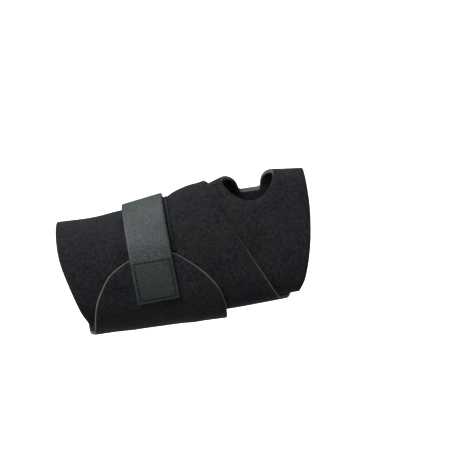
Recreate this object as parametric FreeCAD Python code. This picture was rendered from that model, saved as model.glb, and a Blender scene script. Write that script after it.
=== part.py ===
import FreeCAD, Part
import math
import os

# Wrist splint: a neoprene wrap for the left wrist, worn with its thumb side up.
# Millimetres. +X runs along the arm from the elbow to the fingers, +Z points to the thumb side,
# -Y is the palm side and +Y the back of the hand. The origin is the middle of the wrist opening.
V = FreeCAD.Vector

# ---- driving dimensions ----
NEOPRENE = 3.0            # sheet thickness of every neoprene panel
GAP = 0.3                 # air between two layers that lie on each other
WEBBING = 1.5             # strap thickness
LOOP_PILE = 1.0           # loop strip thickness
HOOK_TAPE = 1.2           # hook tab thickness
STRAP_WIDTH = 29.0
STRAP_MIDDLE_X = -19.8    # strap's middle at the thumb side
STRAP_LEAN = 1.4          # degrees the strap leans from square to the arm
STRAP_LEAN_Z = 40.0       # height at which the leaning strap's middle is at STRAP_MIDDLE_X
LOOP_SHOWS = 2.8          # how far the loop strip stands out past the strap
HOOK_INSET = 1.5          # hook tab's edge, inside the strap's edge
STITCH = (2.0, 0.7, 0.4)  # length, width and height of one stitch
STITCH_PITCH = 3.2
STITCH_INSET = 2.2        # from the strap's edge to the row along it
LOOP_STITCH_INSET = 1.3   # the same for the loop strip's edge
STITCH_LIFT = 0.12        # clears the curve of the cloth under a straight stitch
OVERRUN = 60.0            # how far a cutting prism reaches past the splint
SINK = 3.0                # how far a part that is cut to lie on the wrap starts inside it

# Cut edges of the cuff, the wrap and the flap, as (x, z) places seen from the palm
CUFF_HEM_X = -60.0
FINGER_EDGE = [(95.1, 46.5), (95.3, 30.9), (94.2, 13.4), (90.7, -7.4), (85.0, -26.3), (80.9, -34.1),
               (76.5, -40.5)]
ARM_EDGE = [(-69.0, -45), (-69.7, -35.7), (-73.4, -25.7), (-79.4, -0.9), (-81.6, 12.6), (-81.9, 26.0),
            (-81.2, 38.5)]
PALM_EDGE = [(24.0, 50.5), (36.6, 19.9), (51.4, -12.9), (65.6, -44.0)]
BACK_EDGE = [(24.0, 50.5), (52.0, 22.0), (66.0, -6.0), (74.0, -34.0), (65.6, -44.0)]
DOME = [(-66.5, -45.6), (-65.1, -36.6), (-61.6, -24.8), (-57.5, -16.9), (-52.6, -9.7), (-48.1, -4.7),
        (-36.3, 1.8), (-20.0, 6.4), (-6.0, 4.6), (4.7, -2.8), (18.6, -17.3), (23.8, -26.3), (26.3, -36.3),
        (25.6, -48.3)]
ROOT_LEFT = [(-66.5, -46), (-71.0, -38.0), (-70.0, -24.0)]
ROOT_RIGHT = [(20.0, -24.0), (25.6, -48)]

# Layers, as heights of their inner faces over the hand and arm
CUFF_IN = 0.0
WRAP_IN = CUFF_IN + NEOPRENE + GAP
FLAP_IN = WRAP_IN + NEOPRENE + GAP
LOOP_IN = FLAP_IN
LOOP_FROM_ANGLE = -95.0
LOOP_PAST_TIP = 6.0       # degrees the loop strip goes on past the strap's tip
LOOP_OFF_DOME = 0.8       # air between the loop strip and the flap's rounded edge
STRAP_ON_FLAP = FLAP_IN + NEOPRENE + GAP
STRAP_ON_LOOP = LOOP_IN + LOOP_PILE + 2 * GAP
HOOK_IN = LOOP_IN + LOOP_PILE + GAP
STRAP_ON_HOOK = HOOK_IN + HOOK_TAPE + GAP

# The opening that the hand and arm fill: its thumb-side height at stations along the arm
CREST = [(-92, 32.0), (-78, 31.2), (-57, 30.6), (-34, 32.5), (-19, 33.7), (-6, 34.9), (3, 38.5), (12, 41.2),
         (24, 42.9), (40, 47.6), (58, 48.4), (78, 46.0), (106, 42.6)]
ULNAR_HEIGHT = -35.6      # little-finger side, the same all along
WRIST_HALF_DEPTH = 21.2   # palm to back, halved, at the origin
DEPTH_TAPER = 0.0591      # lost half depth per millimetre towards the fingers
SECTION_STEP = 10         # degrees between the points of a section
STATION_STEP = 8          # millimetres between sections

# The flap hangs a little loose round the little-finger side, more towards the hand
FLAP_START_X = -66.0
FLAP_END_X = 26.0
FLAP_SLACK = 2.6

# Strap angles round the arm, from the thumb side: minus is the palm side
STRAP_END_ANGLE = -136.0
STRAP_BEND_ANGLE = -34.0
STRAP_TAIL_ANGLE = 26.0
STRAP_TIP_ANGLE = 68.0
HOOK_START_ANGLE = 33.0
HOOK_END_ANGLE = 64.0
CUT_CLEAR = 0.8           # degrees of air between two strap pieces at a bend

# Places of the thread, as heights along Z, or as (x, z) for the zigzag
BOX_STITCH_Z = (-25.5, -0.5)
TAIL_STITCH_Z = (33.0, 19.0)
FLAP_SEAM_X = (-67.0, 18.0)
FLAP_SEAM_Z = (-27.0, -30.5)
LOOP_STITCH_PALM_Z = (12.0, 37.0)
LOOP_STITCH_BACK_Z = (18.0, 37.0)
THUMB_SEAM = [(31.2, 45.5), (33.6, 44.9), (32.2, 42.9), (34.6, 42.3), (33.2, 40.3), (35.6, 39.7),
              (34.2, 37.7), (36.6, 37.1), (35.2, 35.1)]

THUMB_HOLE_X = 55.3
THUMB_HOLE_HALF = (18.0, 17.2)   # along the arm, and round it
THUMB_HOLE_MIDDLE = (-5.4, 42.4)
THUMB_HOLE_TURN = 28.0           # degrees the hole leans from the thumb side to the palm
THUMB_HOLE_DEPTH = 12.0          # how far below its middle the hole reaches on the back

# Stay and its pocket on the back of the wrist
STAY = (112.0, 16.0, 1.5)
STAY_START_X = -58.0
STAY_Z = -6.0
STAY_CAP_LENGTH = 9.0
STAY_CAP_SKIN = 0.3
POCKET_WALL = 1.0
POCKET_MARGIN = 4.0
POCKET_CORNER = 2.5
POCKET_PLAY = 0.4
POCKET_SIDE_ROOM = 0.9
POCKET_END_ROOM = 3.0
POCKET_MOUTH = 2.0               # past the stay's end at the elbow side
POCKET_BLIND_END = 6.0           # past the stay's end at the hand side
POCKET_STITCH_INSET = 1.6
BINDING_WIDTH = 7.0
BINDING_THICK = 0.6
BINDING_CORNER = 1.0
BINDING_LIFT = 0.02
BINDING_INSET = 0.5
POCKET_STITCH_GAP = 1.0          # from the binding to the first stitch
POCKET_STITCH_END = 4.0          # from the stay's end to the row across the blind end
STAY_CORNER = STAY[1] / 2.6


def crest_at(x):
    """Thumb-side height of the opening, on a smooth curve through the stations."""
    count = len(CREST)
    left = 0
    while left < count - 2 and x >= CREST[left + 1][0]:
        left += 1

    def slope(i):
        low = max(i - 1, 0)
        high = min(i + 1, count - 1)
        return (CREST[high][1] - CREST[low][1]) / (CREST[high][0] - CREST[low][0])

    x0, z0 = CREST[left]
    x1, z1 = CREST[left + 1]
    run = x1 - x0
    t = (x - x0) / run
    return ((2 * t ** 3 - 3 * t ** 2 + 1) * z0 + (t ** 3 - 2 * t ** 2 + t) * run * slope(left)
            + (3 * t ** 2 - 2 * t ** 3) * z1 + (t ** 3 - t ** 2) * run * slope(left + 1))


def radius_at(x, angle, height):
    """Distance from the X axis to a rounded oval that lies `height` outside the opening."""
    top = crest_at(x) + height
    bottom = ULNAR_HEIGHT - height
    half_height = (top - bottom) / 2
    middle = (top + bottom) / 2
    half_depth = WRIST_HALF_DEPTH - DEPTH_TAPER * x + height
    squareness = 2.3 + 0.003 * x
    sine = math.sin(math.radians(angle))
    cosine = math.cos(math.radians(angle))
    low = 0.0
    high = 150.0
    for _ in range(50):
        r = (low + high) / 2
        reach = abs(r * sine / half_depth) ** squareness
        reach += abs((r * cosine - middle) / half_height) ** squareness
        if reach > 1:
            high = r
        else:
            low = r
    return low


def point_at(x, angle, height):
    r = radius_at(x, angle, height)
    return V(x, r * math.sin(math.radians(angle)), r * math.cos(math.radians(angle)))


def ease(value, start, end):
    """0 before start, 1 after end, smooth between."""
    t = min(1.0, max(0.0, (value - start) / (end - start)))
    return t * t * (3 - 2 * t)


def slack(x, angle):
    """Extra height of the loose flap round the little-finger side."""
    along = min(1.0, max(0.0, (x - FLAP_START_X) / (FLAP_END_X - FLAP_START_X)))
    around = max(0.0, -math.cos(math.radians(angle))) ** 2
    return FLAP_SLACK * along * around


def strap_height(x, angle):
    """Inner face of the strap: over the flap, then the loop strip, then the hook tab."""
    signed = (angle + 180.0) % 360.0 - 180.0
    if signed > 150:
        signed -= 360.0
    height = STRAP_ON_FLAP
    height += (STRAP_ON_LOOP - STRAP_ON_FLAP) * ease(signed, -76, -54)
    height += (STRAP_ON_HOOK - STRAP_ON_LOOP) * ease(signed, 8, HOOK_START_ANGLE - 4)
    return height + slack(x, angle)


def tube(height_of, stations):
    """Solid loft through ovals round the arm."""
    wires = []
    for x in stations:
        points = [point_at(x, a, height_of(x, a)) for a in range(0, 360, SECTION_STEP)]
        curve = Part.BSplineCurve()
        curve.interpolate(Points=points, PeriodicFlag=True)
        wires.append(Part.Wire([curve.toShape()]))
    return Part.makeLoft(wires, True, False)


def layer(height_of, thickness, stations):
    """Hollow layer whose inner face lies at height_of."""
    outside = tube(lambda x, a: height_of(x, a) + thickness, stations)
    return outside.cut(tube(height_of, stations))


def edges_through(runs):
    """Closed wire in the XZ plane: each run is a smooth curve, and straight lines join them."""
    edges = []
    last = None
    first = V(runs[0][0][0], 0, runs[0][0][1])
    for run in runs:
        points = [V(x, 0, z) for x, z in run]
        if last is not None and last.distanceToPoint(points[0]) > 1e-6:
            edges.append(Part.LineSegment(last, points[0]).toShape())
        if len(points) > 2:
            curve = Part.BSplineCurve()
            curve.interpolate(points)
            edges.append(curve.toShape())
        elif len(points) == 2:
            edges.append(Part.LineSegment(points[0], points[1]).toShape())
        last = points[-1]
    edges.append(Part.LineSegment(last, first).toShape())
    return Part.Wire(edges)


def prism(runs, y_from, y_to):
    """Outline in the XZ plane, pushed out from y_from to y_to."""
    face = Part.Face(edges_through(runs))
    face.translate(V(0, y_from, 0))
    return face.extrude(V(0, y_to - y_from, 0))


def wedge(angle_from, angle_to, x_from=-120.0, x_to=140.0):
    """Sector round the X axis between two angles, for cutting a stretch of a strap."""
    reach = 2 * OVERRUN
    steps = max(1, int(abs(angle_to - angle_from) / 45) + 1)
    corners = [V(x_from, 0, 0)]
    for i in range(steps + 1):
        a = math.radians(angle_from + (angle_to - angle_from) * i / steps)
        corners.append(V(x_from, reach * math.sin(a), reach * math.cos(a)))
    corners.append(corners[0])
    return Part.Face(Part.makePolygon(corners)).extrude(V(x_to - x_from, 0, 0))


def strap_band(width, elbow_side=0.0, hand_side=0.0):
    """Straight band across the arm that leans with the strap, wider by the two margins."""
    from_x = -width / 2 - elbow_side
    box = Part.makeBox(width + elbow_side + hand_side, 2 * OVERRUN, 3 * OVERRUN,
                       V(from_x, -OVERRUN, -1.5 * OVERRUN))
    box.rotate(V(0, 0, 0), V(0, 1, 0), -STRAP_LEAN)
    box.translate(V(STRAP_MIDDLE_X + math.tan(math.radians(STRAP_LEAN)) * STRAP_LEAN_Z, 0, 0))
    return box


def stitch_at(point, along, outward):
    """One stitch of thread lying on a surface."""
    length, width, height = STITCH
    along = along.normalize()
    outward = outward.normalize()
    across = outward.cross(along).normalize()
    box = Part.makeBox(length, width, height, V(-length / 2, -width / 2, 0))
    turn = FreeCAD.Matrix(along.x, across.x, outward.x, point.x,
                          along.y, across.y, outward.y, point.y,
                          along.z, across.z, outward.z, point.z,
                          0, 0, 0, 1)
    return box.transformGeometry(turn)


def angle_for(x, z, face, palm=True):
    """Angle round the arm at which a face passes the height z."""
    low = 0.0
    high = 180.0
    for _ in range(40):
        angle = (low + high) / 2
        if face(x, -angle if palm else angle).z > z:
            low = angle
        else:
            high = angle
    return -angle if palm else angle


def outward_at(x, angle, face):
    """Direction out of a face."""
    step = 1.5
    round_it = face(x, angle + step) - face(x, angle - step)
    along_it = face(x + step, angle) - face(x - step, angle)
    return along_it.cross(round_it).normalize()


def stitch_between(start, end, face, palm):
    """One stitch on a face, centred between two (x, z) places and pointing from one to the other."""
    x = (start[0] + end[0]) / 2
    z = (start[1] + end[1]) / 2
    angle = angle_for(x, z, face, palm)
    outward = outward_at(x, angle, face)
    first = face(start[0], angle_for(start[0], start[1], face, palm))
    last = face(end[0], angle_for(end[0], end[1], face, palm))
    along = last - first
    along = along - outward * along.dot(outward)
    return stitch_at(face(x, angle) + outward * STITCH_LIFT, along, outward)


def stitch_row(start, end, face, palm=True):
    """Row of stitches between two (x, z) places on a face."""
    count = max(2, int(round(math.hypot(end[0] - start[0], end[1] - start[1]) / STITCH_PITCH)))
    step = ((end[0] - start[0]) / count, (end[1] - start[1]) / count)
    stitches = []
    for i in range(count):
        left = (start[0] + step[0] * i, start[1] + step[1] * i)
        right = (left[0] + step[0], left[1] + step[1])
        stitches.append(stitch_between(left, right, face, palm))
    return stitches


def save(name, shape):
    solids = shape.Solids
    if len(solids) == 1:
        shape = solids[0]
    else:
        shape = Part.makeCompound(solids)
    shape.exportStep("parts/" + name + ".step")
    print(name, len(solids), round(shape.Volume, 1), shape.isValid())


# ---- neoprene panels ----
ALL_STATIONS = list(range(-90, 106, STATION_STEP))
STATION_MARGIN = 12
FAR_TOP = OVERRUN * 1.5


def stations_over(x_from, x_to):
    return [x for x in ALL_STATIONS if x_from < x < x_to]


def thumb_hole_cutter():
    along, around = THUMB_HOLE_HALF
    ellipse = Part.Ellipse(V(0, 0, 0), along, around)
    face = Part.Face(Part.Wire([ellipse.toShape()]))
    cutter = face.extrude(V(0, 0, OVERRUN))
    cutter.translate(V(0, 0, -THUMB_HOLE_DEPTH))
    cutter.rotate(V(0, 0, 0), V(1, 0, 0), THUMB_HOLE_TURN)
    cutter.translate(V(THUMB_HOLE_X, THUMB_HOLE_MIDDLE[0], THUMB_HOLE_MIDDLE[1]))
    return cutter


def make_hand_cuff():
    """Inner tube, round the palm, with the thumb hole in its thumb-side edge."""
    top_x = FINGER_EDGE[0][0]
    bottom_x = FINGER_EDGE[-1][0]
    outline = prism([[(CUFF_HEM_X, -FAR_TOP), (CUFF_HEM_X, FAR_TOP)], [(top_x, FAR_TOP), FINGER_EDGE[0]],
                     FINGER_EDGE, [(bottom_x, -FAR_TOP)]], -OVERRUN, OVERRUN)
    panel = layer(lambda x, a: CUFF_IN, NEOPRENE, ALL_STATIONS)
    return panel.common(outline).cut(thumb_hole_cutter())


def make_wrist_wrap():
    """Second layer, round the wrist and forearm, cut on a slant at the hand."""
    arm_top_x = ARM_EDGE[-1][0]
    arm_bottom_x = ARM_EDGE[0][0]
    panel = layer(lambda x, a: WRAP_IN, NEOPRENE, ALL_STATIONS)
    halves = []
    for edge, y_from, y_to in ((PALM_EDGE, -OVERRUN, 0.0), (BACK_EDGE, 0.0, OVERRUN)):
        top = [(arm_top_x, FAR_TOP), (edge[0][0], FAR_TOP)]
        bottom = [(edge[-1][0], -FAR_TOP), (arm_bottom_x, -FAR_TOP)]
        halves.append(prism([ARM_EDGE, top, edge, bottom], y_from, y_to))
    return panel.common(halves[0].fuse(halves[1]).removeSplitter())


def flap_height(x, angle):
    return FLAP_IN + slack(x, angle)


def dome_prism(raise_by=0.0):
    curve = [(x, z + raise_by) for x, z in DOME]
    return prism([curve, [(DOME[-1][0], -FAR_TOP), (DOME[0][0], -FAR_TOP)]], -OVERRUN, -GAP / 2)


def flap_layer():
    return layer(flap_height, NEOPRENE, stations_over(FLAP_START_X - STATION_MARGIN,
                                                      FLAP_END_X + STATION_MARGIN))


def make_closure_flap():
    """Rounded flap that folds up over the palm side."""
    return flap_layer().common(dome_prism())


def make_flap_root():
    """The flap's sewn half, from the little-finger side to its seam on the back."""
    left = [(ROOT_LEFT[0][0], -FAR_TOP), ROOT_LEFT[0]]
    right = [(ROOT_RIGHT[-1][0], -FAR_TOP)]
    outline = prism([left, ROOT_LEFT[1:], ROOT_RIGHT, right], GAP / 2, OVERRUN)
    return flap_layer().common(outline)


# ---- strap ----
STRAP_STATIONS = [-38.0, -1.0]


def strap_stations():
    """Stations for the layers that lie under the strap."""
    return stations_over(STRAP_STATIONS[0] - 2 * STATION_MARGIN, STRAP_STATIONS[1] + 2 * STATION_MARGIN)


def strap_piece(angle_from, angle_to):
    shell = layer(strap_height, WEBBING, STRAP_STATIONS)
    return shell.common(strap_band(STRAP_WIDTH)).common(wedge(angle_from, angle_to))


def make_loop_strip():
    """Loop pile sewn on the wrap under the strap, showing only on the hand side of it."""
    shell = layer(lambda x, a: LOOP_IN, LOOP_PILE, strap_stations())
    band = strap_band(STRAP_WIDTH, -LOOP_SHOWS, LOOP_SHOWS)
    strip = shell.common(band).common(wedge(LOOP_FROM_ANGLE, STRAP_TIP_ANGLE + LOOP_PAST_TIP))
    return strip.cut(dome_prism(LOOP_OFF_DOME))


def make_hook_tab():
    shell = layer(lambda x, a: HOOK_IN, HOOK_TAPE, strap_stations())
    band = strap_band(STRAP_WIDTH, -HOOK_INSET, -HOOK_INSET)
    return shell.common(band).common(wedge(HOOK_START_ANGLE, HOOK_END_ANGLE))


# ---- stay and pocket ----
STAY_SLOPE = math.degrees(math.atan(DEPTH_TAPER))


def on_back(shape):
    """Turn a shape built flat at the origin onto the sloping back of the wrist."""
    shape.rotate(V(0, 0, 0), V(0, 0, 1), -STAY_SLOPE)
    shape.translate(V(0, WRIST_HALF_DEPTH + FLAP_IN, STAY_Z))
    return shape


def rounded_bar(length, width, thickness, x_from, y_from, corner):
    """Flat bar along X with rounded corners, lying in the XZ plane."""
    bar = Part.makeBox(length, thickness, width, V(x_from, y_from, -width / 2))
    upright = [e for e in bar.Edges if abs(e.tangentAt(e.FirstParameter).y) > 0.9]
    return bar.makeFillet(corner, upright)


def make_stay():
    length, width, thickness = STAY
    return on_back(rounded_bar(length, width, thickness, STAY_START_X, POCKET_PLAY, STAY_CORNER))


def make_stay_caps():
    length, width, thickness = STAY
    skin = STAY_CAP_SKIN
    outer = rounded_bar(length + 2 * skin, width + 2 * skin, thickness + skin, STAY_START_X - skin,
                        POCKET_PLAY - skin / 2, STAY_CORNER)
    inner = rounded_bar(length, width, thickness, STAY_START_X, POCKET_PLAY, STAY_CORNER)
    middle = Part.makeBox(length - 2 * STAY_CAP_LENGTH, 4 * thickness, 2 * width,
                          V(STAY_START_X + STAY_CAP_LENGTH, -thickness, -width))
    return on_back(outer.cut(inner).cut(middle))


POCKET_ROOM = STAY[2] + 2 * POCKET_PLAY
POCKET_FACE = POCKET_ROOM + POCKET_WALL
POCKET_ON_WRAP = WRAP_IN + NEOPRENE + GAP - 0.05


def make_stay_pocket():
    """Woven cover that makes a channel for the stay, open towards the elbow."""
    length, width, _ = STAY
    x_mouth = STAY_START_X - POCKET_MOUTH
    cover_length = length + POCKET_MOUTH + POCKET_BLIND_END
    cover = rounded_bar(cover_length, width + 2 * POCKET_MARGIN, SINK + POCKET_FACE, x_mouth, -SINK,
                        POCKET_CORNER)
    channel = Part.makeBox(length + 2 * POCKET_END_ROOM, SINK + POCKET_ROOM, width + 2 * POCKET_SIDE_ROOM,
                           V(STAY_START_X - POCKET_END_ROOM, -SINK, -width / 2 - POCKET_SIDE_ROOM))
    cover = on_back(cover.cut(channel))
    return cover.cut(tube(lambda x, a: POCKET_ON_WRAP, ALL_STATIONS))


def make_pocket_binding():
    """Tape folded over the pocket's mouth, on the outside."""
    width = STAY[1] + 2 * (POCKET_MARGIN - BINDING_INSET)
    tape = rounded_bar(BINDING_WIDTH, width, BINDING_THICK, STAY_START_X - POCKET_MOUTH,
                       POCKET_FACE + BINDING_LIFT, BINDING_CORNER)
    return on_back(tape)


# ---- thread ----
def cuff_face(x, angle):
    return point_at(x, angle, CUFF_IN + NEOPRENE)


def flap_face(x, angle):
    return point_at(x, angle, flap_height(x, angle) + NEOPRENE)


def loop_face(x, angle):
    return point_at(x, angle, LOOP_IN + LOOP_PILE)


def strap_face(x, angle):
    """Outer face of the strap, which lies straight across between its two end sections."""
    left, right = STRAP_STATIONS
    near = point_at(left, angle, strap_height(left, angle) + WEBBING)
    far = point_at(right, angle, strap_height(right, angle) + WEBBING)
    return near + (far - near) * ((x - left) / (right - left))


def strap_x(z, side, inset=STITCH_INSET):
    """X of a line along the strap's elbow side (side -1) or hand side (side 1) at height z."""
    middle = STRAP_MIDDLE_X + math.tan(math.radians(STRAP_LEAN)) * (STRAP_LEAN_Z - z)
    return middle + side * (STRAP_WIDTH / 2 - inset)


def make_box_stitch():
    """Box of stitches that holds the strap's end on the flap."""
    low, high = BOX_STITCH_Z
    rows = stitch_row((strap_x(low, -1), low), (strap_x(low, 1), low), strap_face)
    rows += stitch_row((strap_x(high, -1), high), (strap_x(high, 1), high), strap_face)
    for side in (-1, 1):
        start = (strap_x(low, side), low + STITCH_PITCH)
        end = (strap_x(high, side), high - STITCH_PITCH)
        rows += stitch_row(start, end, strap_face)
    return Part.makeCompound(rows)


def make_loop_stitches():
    """Stitches along the loop strip's hand-side edge, where it shows past the strap."""
    rows = []
    inset = LOOP_STITCH_INSET - LOOP_SHOWS
    for palm, (low, high) in ((True, LOOP_STITCH_PALM_Z), (False, LOOP_STITCH_BACK_Z)):
        rows += stitch_row((strap_x(low, 1, inset), low), (strap_x(high, 1, inset), high), loop_face, palm)
    return Part.makeCompound(rows)


def make_tail_stitches():
    """Two rows that hold the hook tab inside the strap's tail."""
    rows = []
    for z in TAIL_STITCH_Z:
        rows += stitch_row((strap_x(z, -1), z), (strap_x(z, 1), z), strap_face, False)
    return Part.makeCompound(rows)


def make_thumb_seam():
    """Zigzag seam that joins the cuff below the thumb hole."""
    pairs = zip(THUMB_SEAM, THUMB_SEAM[1:])
    return Part.makeCompound([stitch_between(start, end, cuff_face, True) for start, end in pairs])


def make_flap_seam():
    """Two rows that sew the flap's root to the wrap, on the back."""
    rows = []
    for z in FLAP_SEAM_Z:
        rows += stitch_row((FLAP_SEAM_X[0], z), (FLAP_SEAM_X[1], z), flap_face, False)
    return Part.makeCompound(rows)


def make_pocket_stitches():
    """Stitches down both sides and across the blind end of the stay pocket."""
    half = STAY[1] / 2 + POCKET_MARGIN - POCKET_STITCH_INSET
    x_from = STAY_START_X + BINDING_WIDTH + POCKET_STITCH_GAP
    x_to = STAY_START_X + STAY[0] + POCKET_STITCH_END
    count = int((x_to - x_from) / STITCH_PITCH)
    stitches = []
    for i in range(count):
        x = x_from + (i + 0.5) * STITCH_PITCH
        for z in (-half, half):
            stitches.append(stitch_at(V(x, POCKET_FACE, z), V(1, 0, 0), V(0, 1, 0)))
    across = int(2 * half / STITCH_PITCH) - 1
    for i in range(across):
        z = (i - (across - 1) / 2) * STITCH_PITCH
        stitches.append(stitch_at(V(x_to, POCKET_FACE, z), V(0, 0, 1), V(0, 1, 0)))
    return on_back(Part.makeCompound(stitches))


def main():
    os.makedirs("parts", exist_ok=True)
    save("hand_cuff", make_hand_cuff())
    save("wrist_wrap", make_wrist_wrap())
    save("closure_flap", make_closure_flap())
    save("flap_root", make_flap_root())
    save("strap_sewn_end", strap_piece(STRAP_END_ANGLE, STRAP_BEND_ANGLE))
    save("strap_middle", strap_piece(STRAP_BEND_ANGLE + CUT_CLEAR, STRAP_TAIL_ANGLE))
    save("strap_tail", strap_piece(STRAP_TAIL_ANGLE + CUT_CLEAR, STRAP_TIP_ANGLE))
    save("loop_strip", make_loop_strip())
    save("hook_tab", make_hook_tab())
    save("stay", make_stay())
    save("stay_caps", make_stay_caps())
    save("stay_pocket", make_stay_pocket())
    save("pocket_binding", make_pocket_binding())
    save("box_stitch", make_box_stitch())
    save("loop_stitches", make_loop_stitches())
    save("tail_stitches", make_tail_stitches())
    save("thumb_seam", make_thumb_seam())
    save("flap_seam", make_flap_seam())
    save("pocket_stitches", make_pocket_stitches())


main()
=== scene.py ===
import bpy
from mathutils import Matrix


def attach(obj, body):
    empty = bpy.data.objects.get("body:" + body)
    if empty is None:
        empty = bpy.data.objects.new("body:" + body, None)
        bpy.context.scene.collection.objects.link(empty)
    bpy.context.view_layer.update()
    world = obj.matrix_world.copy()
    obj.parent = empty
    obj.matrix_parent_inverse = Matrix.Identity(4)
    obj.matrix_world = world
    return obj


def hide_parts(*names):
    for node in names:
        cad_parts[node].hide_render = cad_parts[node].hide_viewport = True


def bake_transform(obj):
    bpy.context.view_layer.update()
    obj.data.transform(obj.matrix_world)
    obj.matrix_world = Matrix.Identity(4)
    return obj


bl_info = {
    "name": "Wrist splint",
    "version": (1, 0, 0),
    "blender": (4, 5, 0),
    "location": "3D View > Sidebar > Splint",
    "description": "Builds a neoprene wrist splint with its flap, strap, stay and stitching",
    "category": "Object",
}

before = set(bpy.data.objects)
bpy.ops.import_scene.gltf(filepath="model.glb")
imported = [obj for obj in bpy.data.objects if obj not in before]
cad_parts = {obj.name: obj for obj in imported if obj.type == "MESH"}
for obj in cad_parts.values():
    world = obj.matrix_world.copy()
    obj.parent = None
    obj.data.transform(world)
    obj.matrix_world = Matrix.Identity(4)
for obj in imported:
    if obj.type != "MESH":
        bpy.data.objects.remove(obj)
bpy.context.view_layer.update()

import math

import bpy
import numpy as np
from bpy.props import FloatProperty, FloatVectorProperty, IntProperty, PointerProperty
from mathutils import Vector
from mathutils.geometry import delaunay_2d_cdt

MM = 0.001

# ---- the shape of the worn splint, as in the frame ----
# Thumb-side height of the opening at stations along the arm, in metres
CREST = np.array([(-92, 32.0), (-78, 31.2), (-57, 30.6), (-34, 32.5), (-19, 33.7), (-6, 34.9), (3, 38.5),
                  (12, 41.2), (24, 42.9), (40, 47.6), (58, 48.4), (78, 46.0), (106, 42.6)]) * MM
ULNAR_HEIGHT = -35.6 * MM
WRIST_HALF_DEPTH = 21.2 * MM
DEPTH_TAPER = 0.0591
SQUARENESS = 2.3           # power of the rounded oval at the origin
SQUARER = 3.0              # gained for each metre towards the fingers
FARTHEST = 0.15            # no part of an oval is farther than this from the arm's axis
GAP = 0.3 * MM
NEOPRENE = 3.0 * MM
LAYER = NEOPRENE + GAP     # one neoprene sheet and the air over it
SHEET_MIDDLE = NEOPRENE / 2
CUFF_IN = 0.0
WRAP_IN = CUFF_IN + LAYER
FLAP_IN = WRAP_IN + LAYER
LOOP_IN = FLAP_IN
LOOP_PILE = 1.0 * MM
LOOP_GROUND = 0.55 * MM    # the woven ground under the loops
HOOK_IN = LOOP_IN + LOOP_PILE + GAP
HOOK_TAPE = 1.2 * MM
HOOK_ROOM = 0.7 * MM       # of which the hooks take up this much
HOOK_INSET = 1.5 * MM      # from the strap's edge to the tape's
HOOK_ROWS, HOOK_COLUMNS = 24, 22
STRAP_ON_FLAP = FLAP_IN + LAYER
STRAP_ON_LOOP = LOOP_IN + LOOP_PILE + 2 * GAP
STRAP_ON_HOOK = HOOK_IN + HOOK_TAPE + GAP
WEBBING = 1.5 * MM
RIB_HEIGHT = 0.16 * MM
STRAP_HALF = 14.5 * MM     # half the strap's width
STRAP_MIDDLE_X = -19.8 * MM
STRAP_LEAN = math.tan(math.radians(1.4))
STRAP_LEAN_Z = 40.0 * MM   # height at which the leaning strap's middle is at STRAP_MIDDLE_X
STEP_TO_LOOP = (-76, -54)  # degrees between which the strap comes down from the flap to the loop strip
STEP_TO_HOOK = (8, 29)     # and rises on to the hook tab
STRAP_FROM_X = -38.0 * MM
STRAP_TO_X = -1.0 * MM
STRAP_END = math.radians(-133.6)
STRAP_BEND = math.radians(-34.0)
STRAP_JOIN = math.radians(-4.0)
STRAP_TAIL = math.radians(26.0)
STRAP_TIP = math.radians(68.0)
BEND_HALF = 0.22           # radians to either side of a fold over which the webbing bends
HOOK_START = math.radians(33.0)
HOOK_END = math.radians(64.0)
LOOP_START = math.radians(-95.0)
LOOP_END = math.radians(74.0)
LOOP_SHOWS = 2.8 * MM      # how far the loop strip stands out past the strap
LOOP_OFF_DOME = 1.4 * MM
FLAP_START_X = -66.0 * MM
FLAP_END_X = 26.0 * MM
FLAP_SLACK = 2.6 * MM
ROUND = 33.0 * MM          # turns an angle round the arm into a length of cloth
EDGE_BLUR = 2              # degrees over which a tube's cut edge is evened out

# Unevenness of the worn cloth: share, waves round the arm, length along it (minus leans back), start
WAVES = [(0.5, 2, 19.0 * MM, 0.7), (0.3, 3, -11.0 * MM, 2.1), (0.2, 5, 23.0 * MM, 4.0)]
PRESSED_HALF = 19.0 * MM   # half the length that the strap presses flat
BULGE_AT = 22.0 * MM       # where the cloth swells beside the strap, from its middle
BULGE_HALF = 5.0 * MM
FLAT_BACK = (1.75, 0.55)   # middle and half width, in radians, of the back that the stay keeps flat
STAY_FLATTENS = 0.85       # share of the unevenness that is gone there

# Cut edges as (x, z) places seen from the palm side, in metres
FINGER_EDGE = np.array([(95.1, 52.0), (95.1, 46.5), (95.3, 30.9), (94.2, 13.4), (90.7, -7.4), (85.0, -26.3),
                        (80.9, -34.1), (76.5, -40.5)]) * MM
ARM_EDGE = np.array([(-69.0, -45.0), (-69.7, -35.7), (-73.4, -25.7), (-79.4, -0.9), (-81.6, 12.6),
                     (-81.9, 26.0), (-81.2, 38.5)]) * MM
PALM_EDGE = np.array([(24.0, 50.5), (36.6, 19.9), (51.4, -12.9), (65.6, -44.0)]) * MM
BACK_EDGE = np.array([(24.0, 50.5), (52.0, 22.0), (66.0, -6.0), (74.0, -34.0), (65.6, -44.0)]) * MM
CUFF_HEM_X = -60.0 * MM
# The flap: its left edge on the back, its dome on the palm side, its right edge on the back
FLAP_LEFT_BACK = np.array([(-70.4, -24.0), (-72.2, -32.0), (-72.6, -38.0), (-71.6, -43.0)]) * MM
FLAP_DOME = np.array([(-67.4, -45.8), (-65.1, -36.6), (-61.6, -24.8), (-57.5, -16.9), (-52.6, -9.7),
                      (-48.1, -4.7), (-36.3, 1.8), (-20.0, 6.4), (-6.0, 4.6), (4.7, -2.8), (12.4, -10.0),
                      (18.6, -17.3), (23.8, -26.3), (26.3, -36.3), (26.2, -45.0)]) * MM
FLAP_RIGHT_BACK = np.array([(25.6, -47.0), (24.6, -42.0), (22.0, -32.0), (20.0, -24.0)]) * MM

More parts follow.
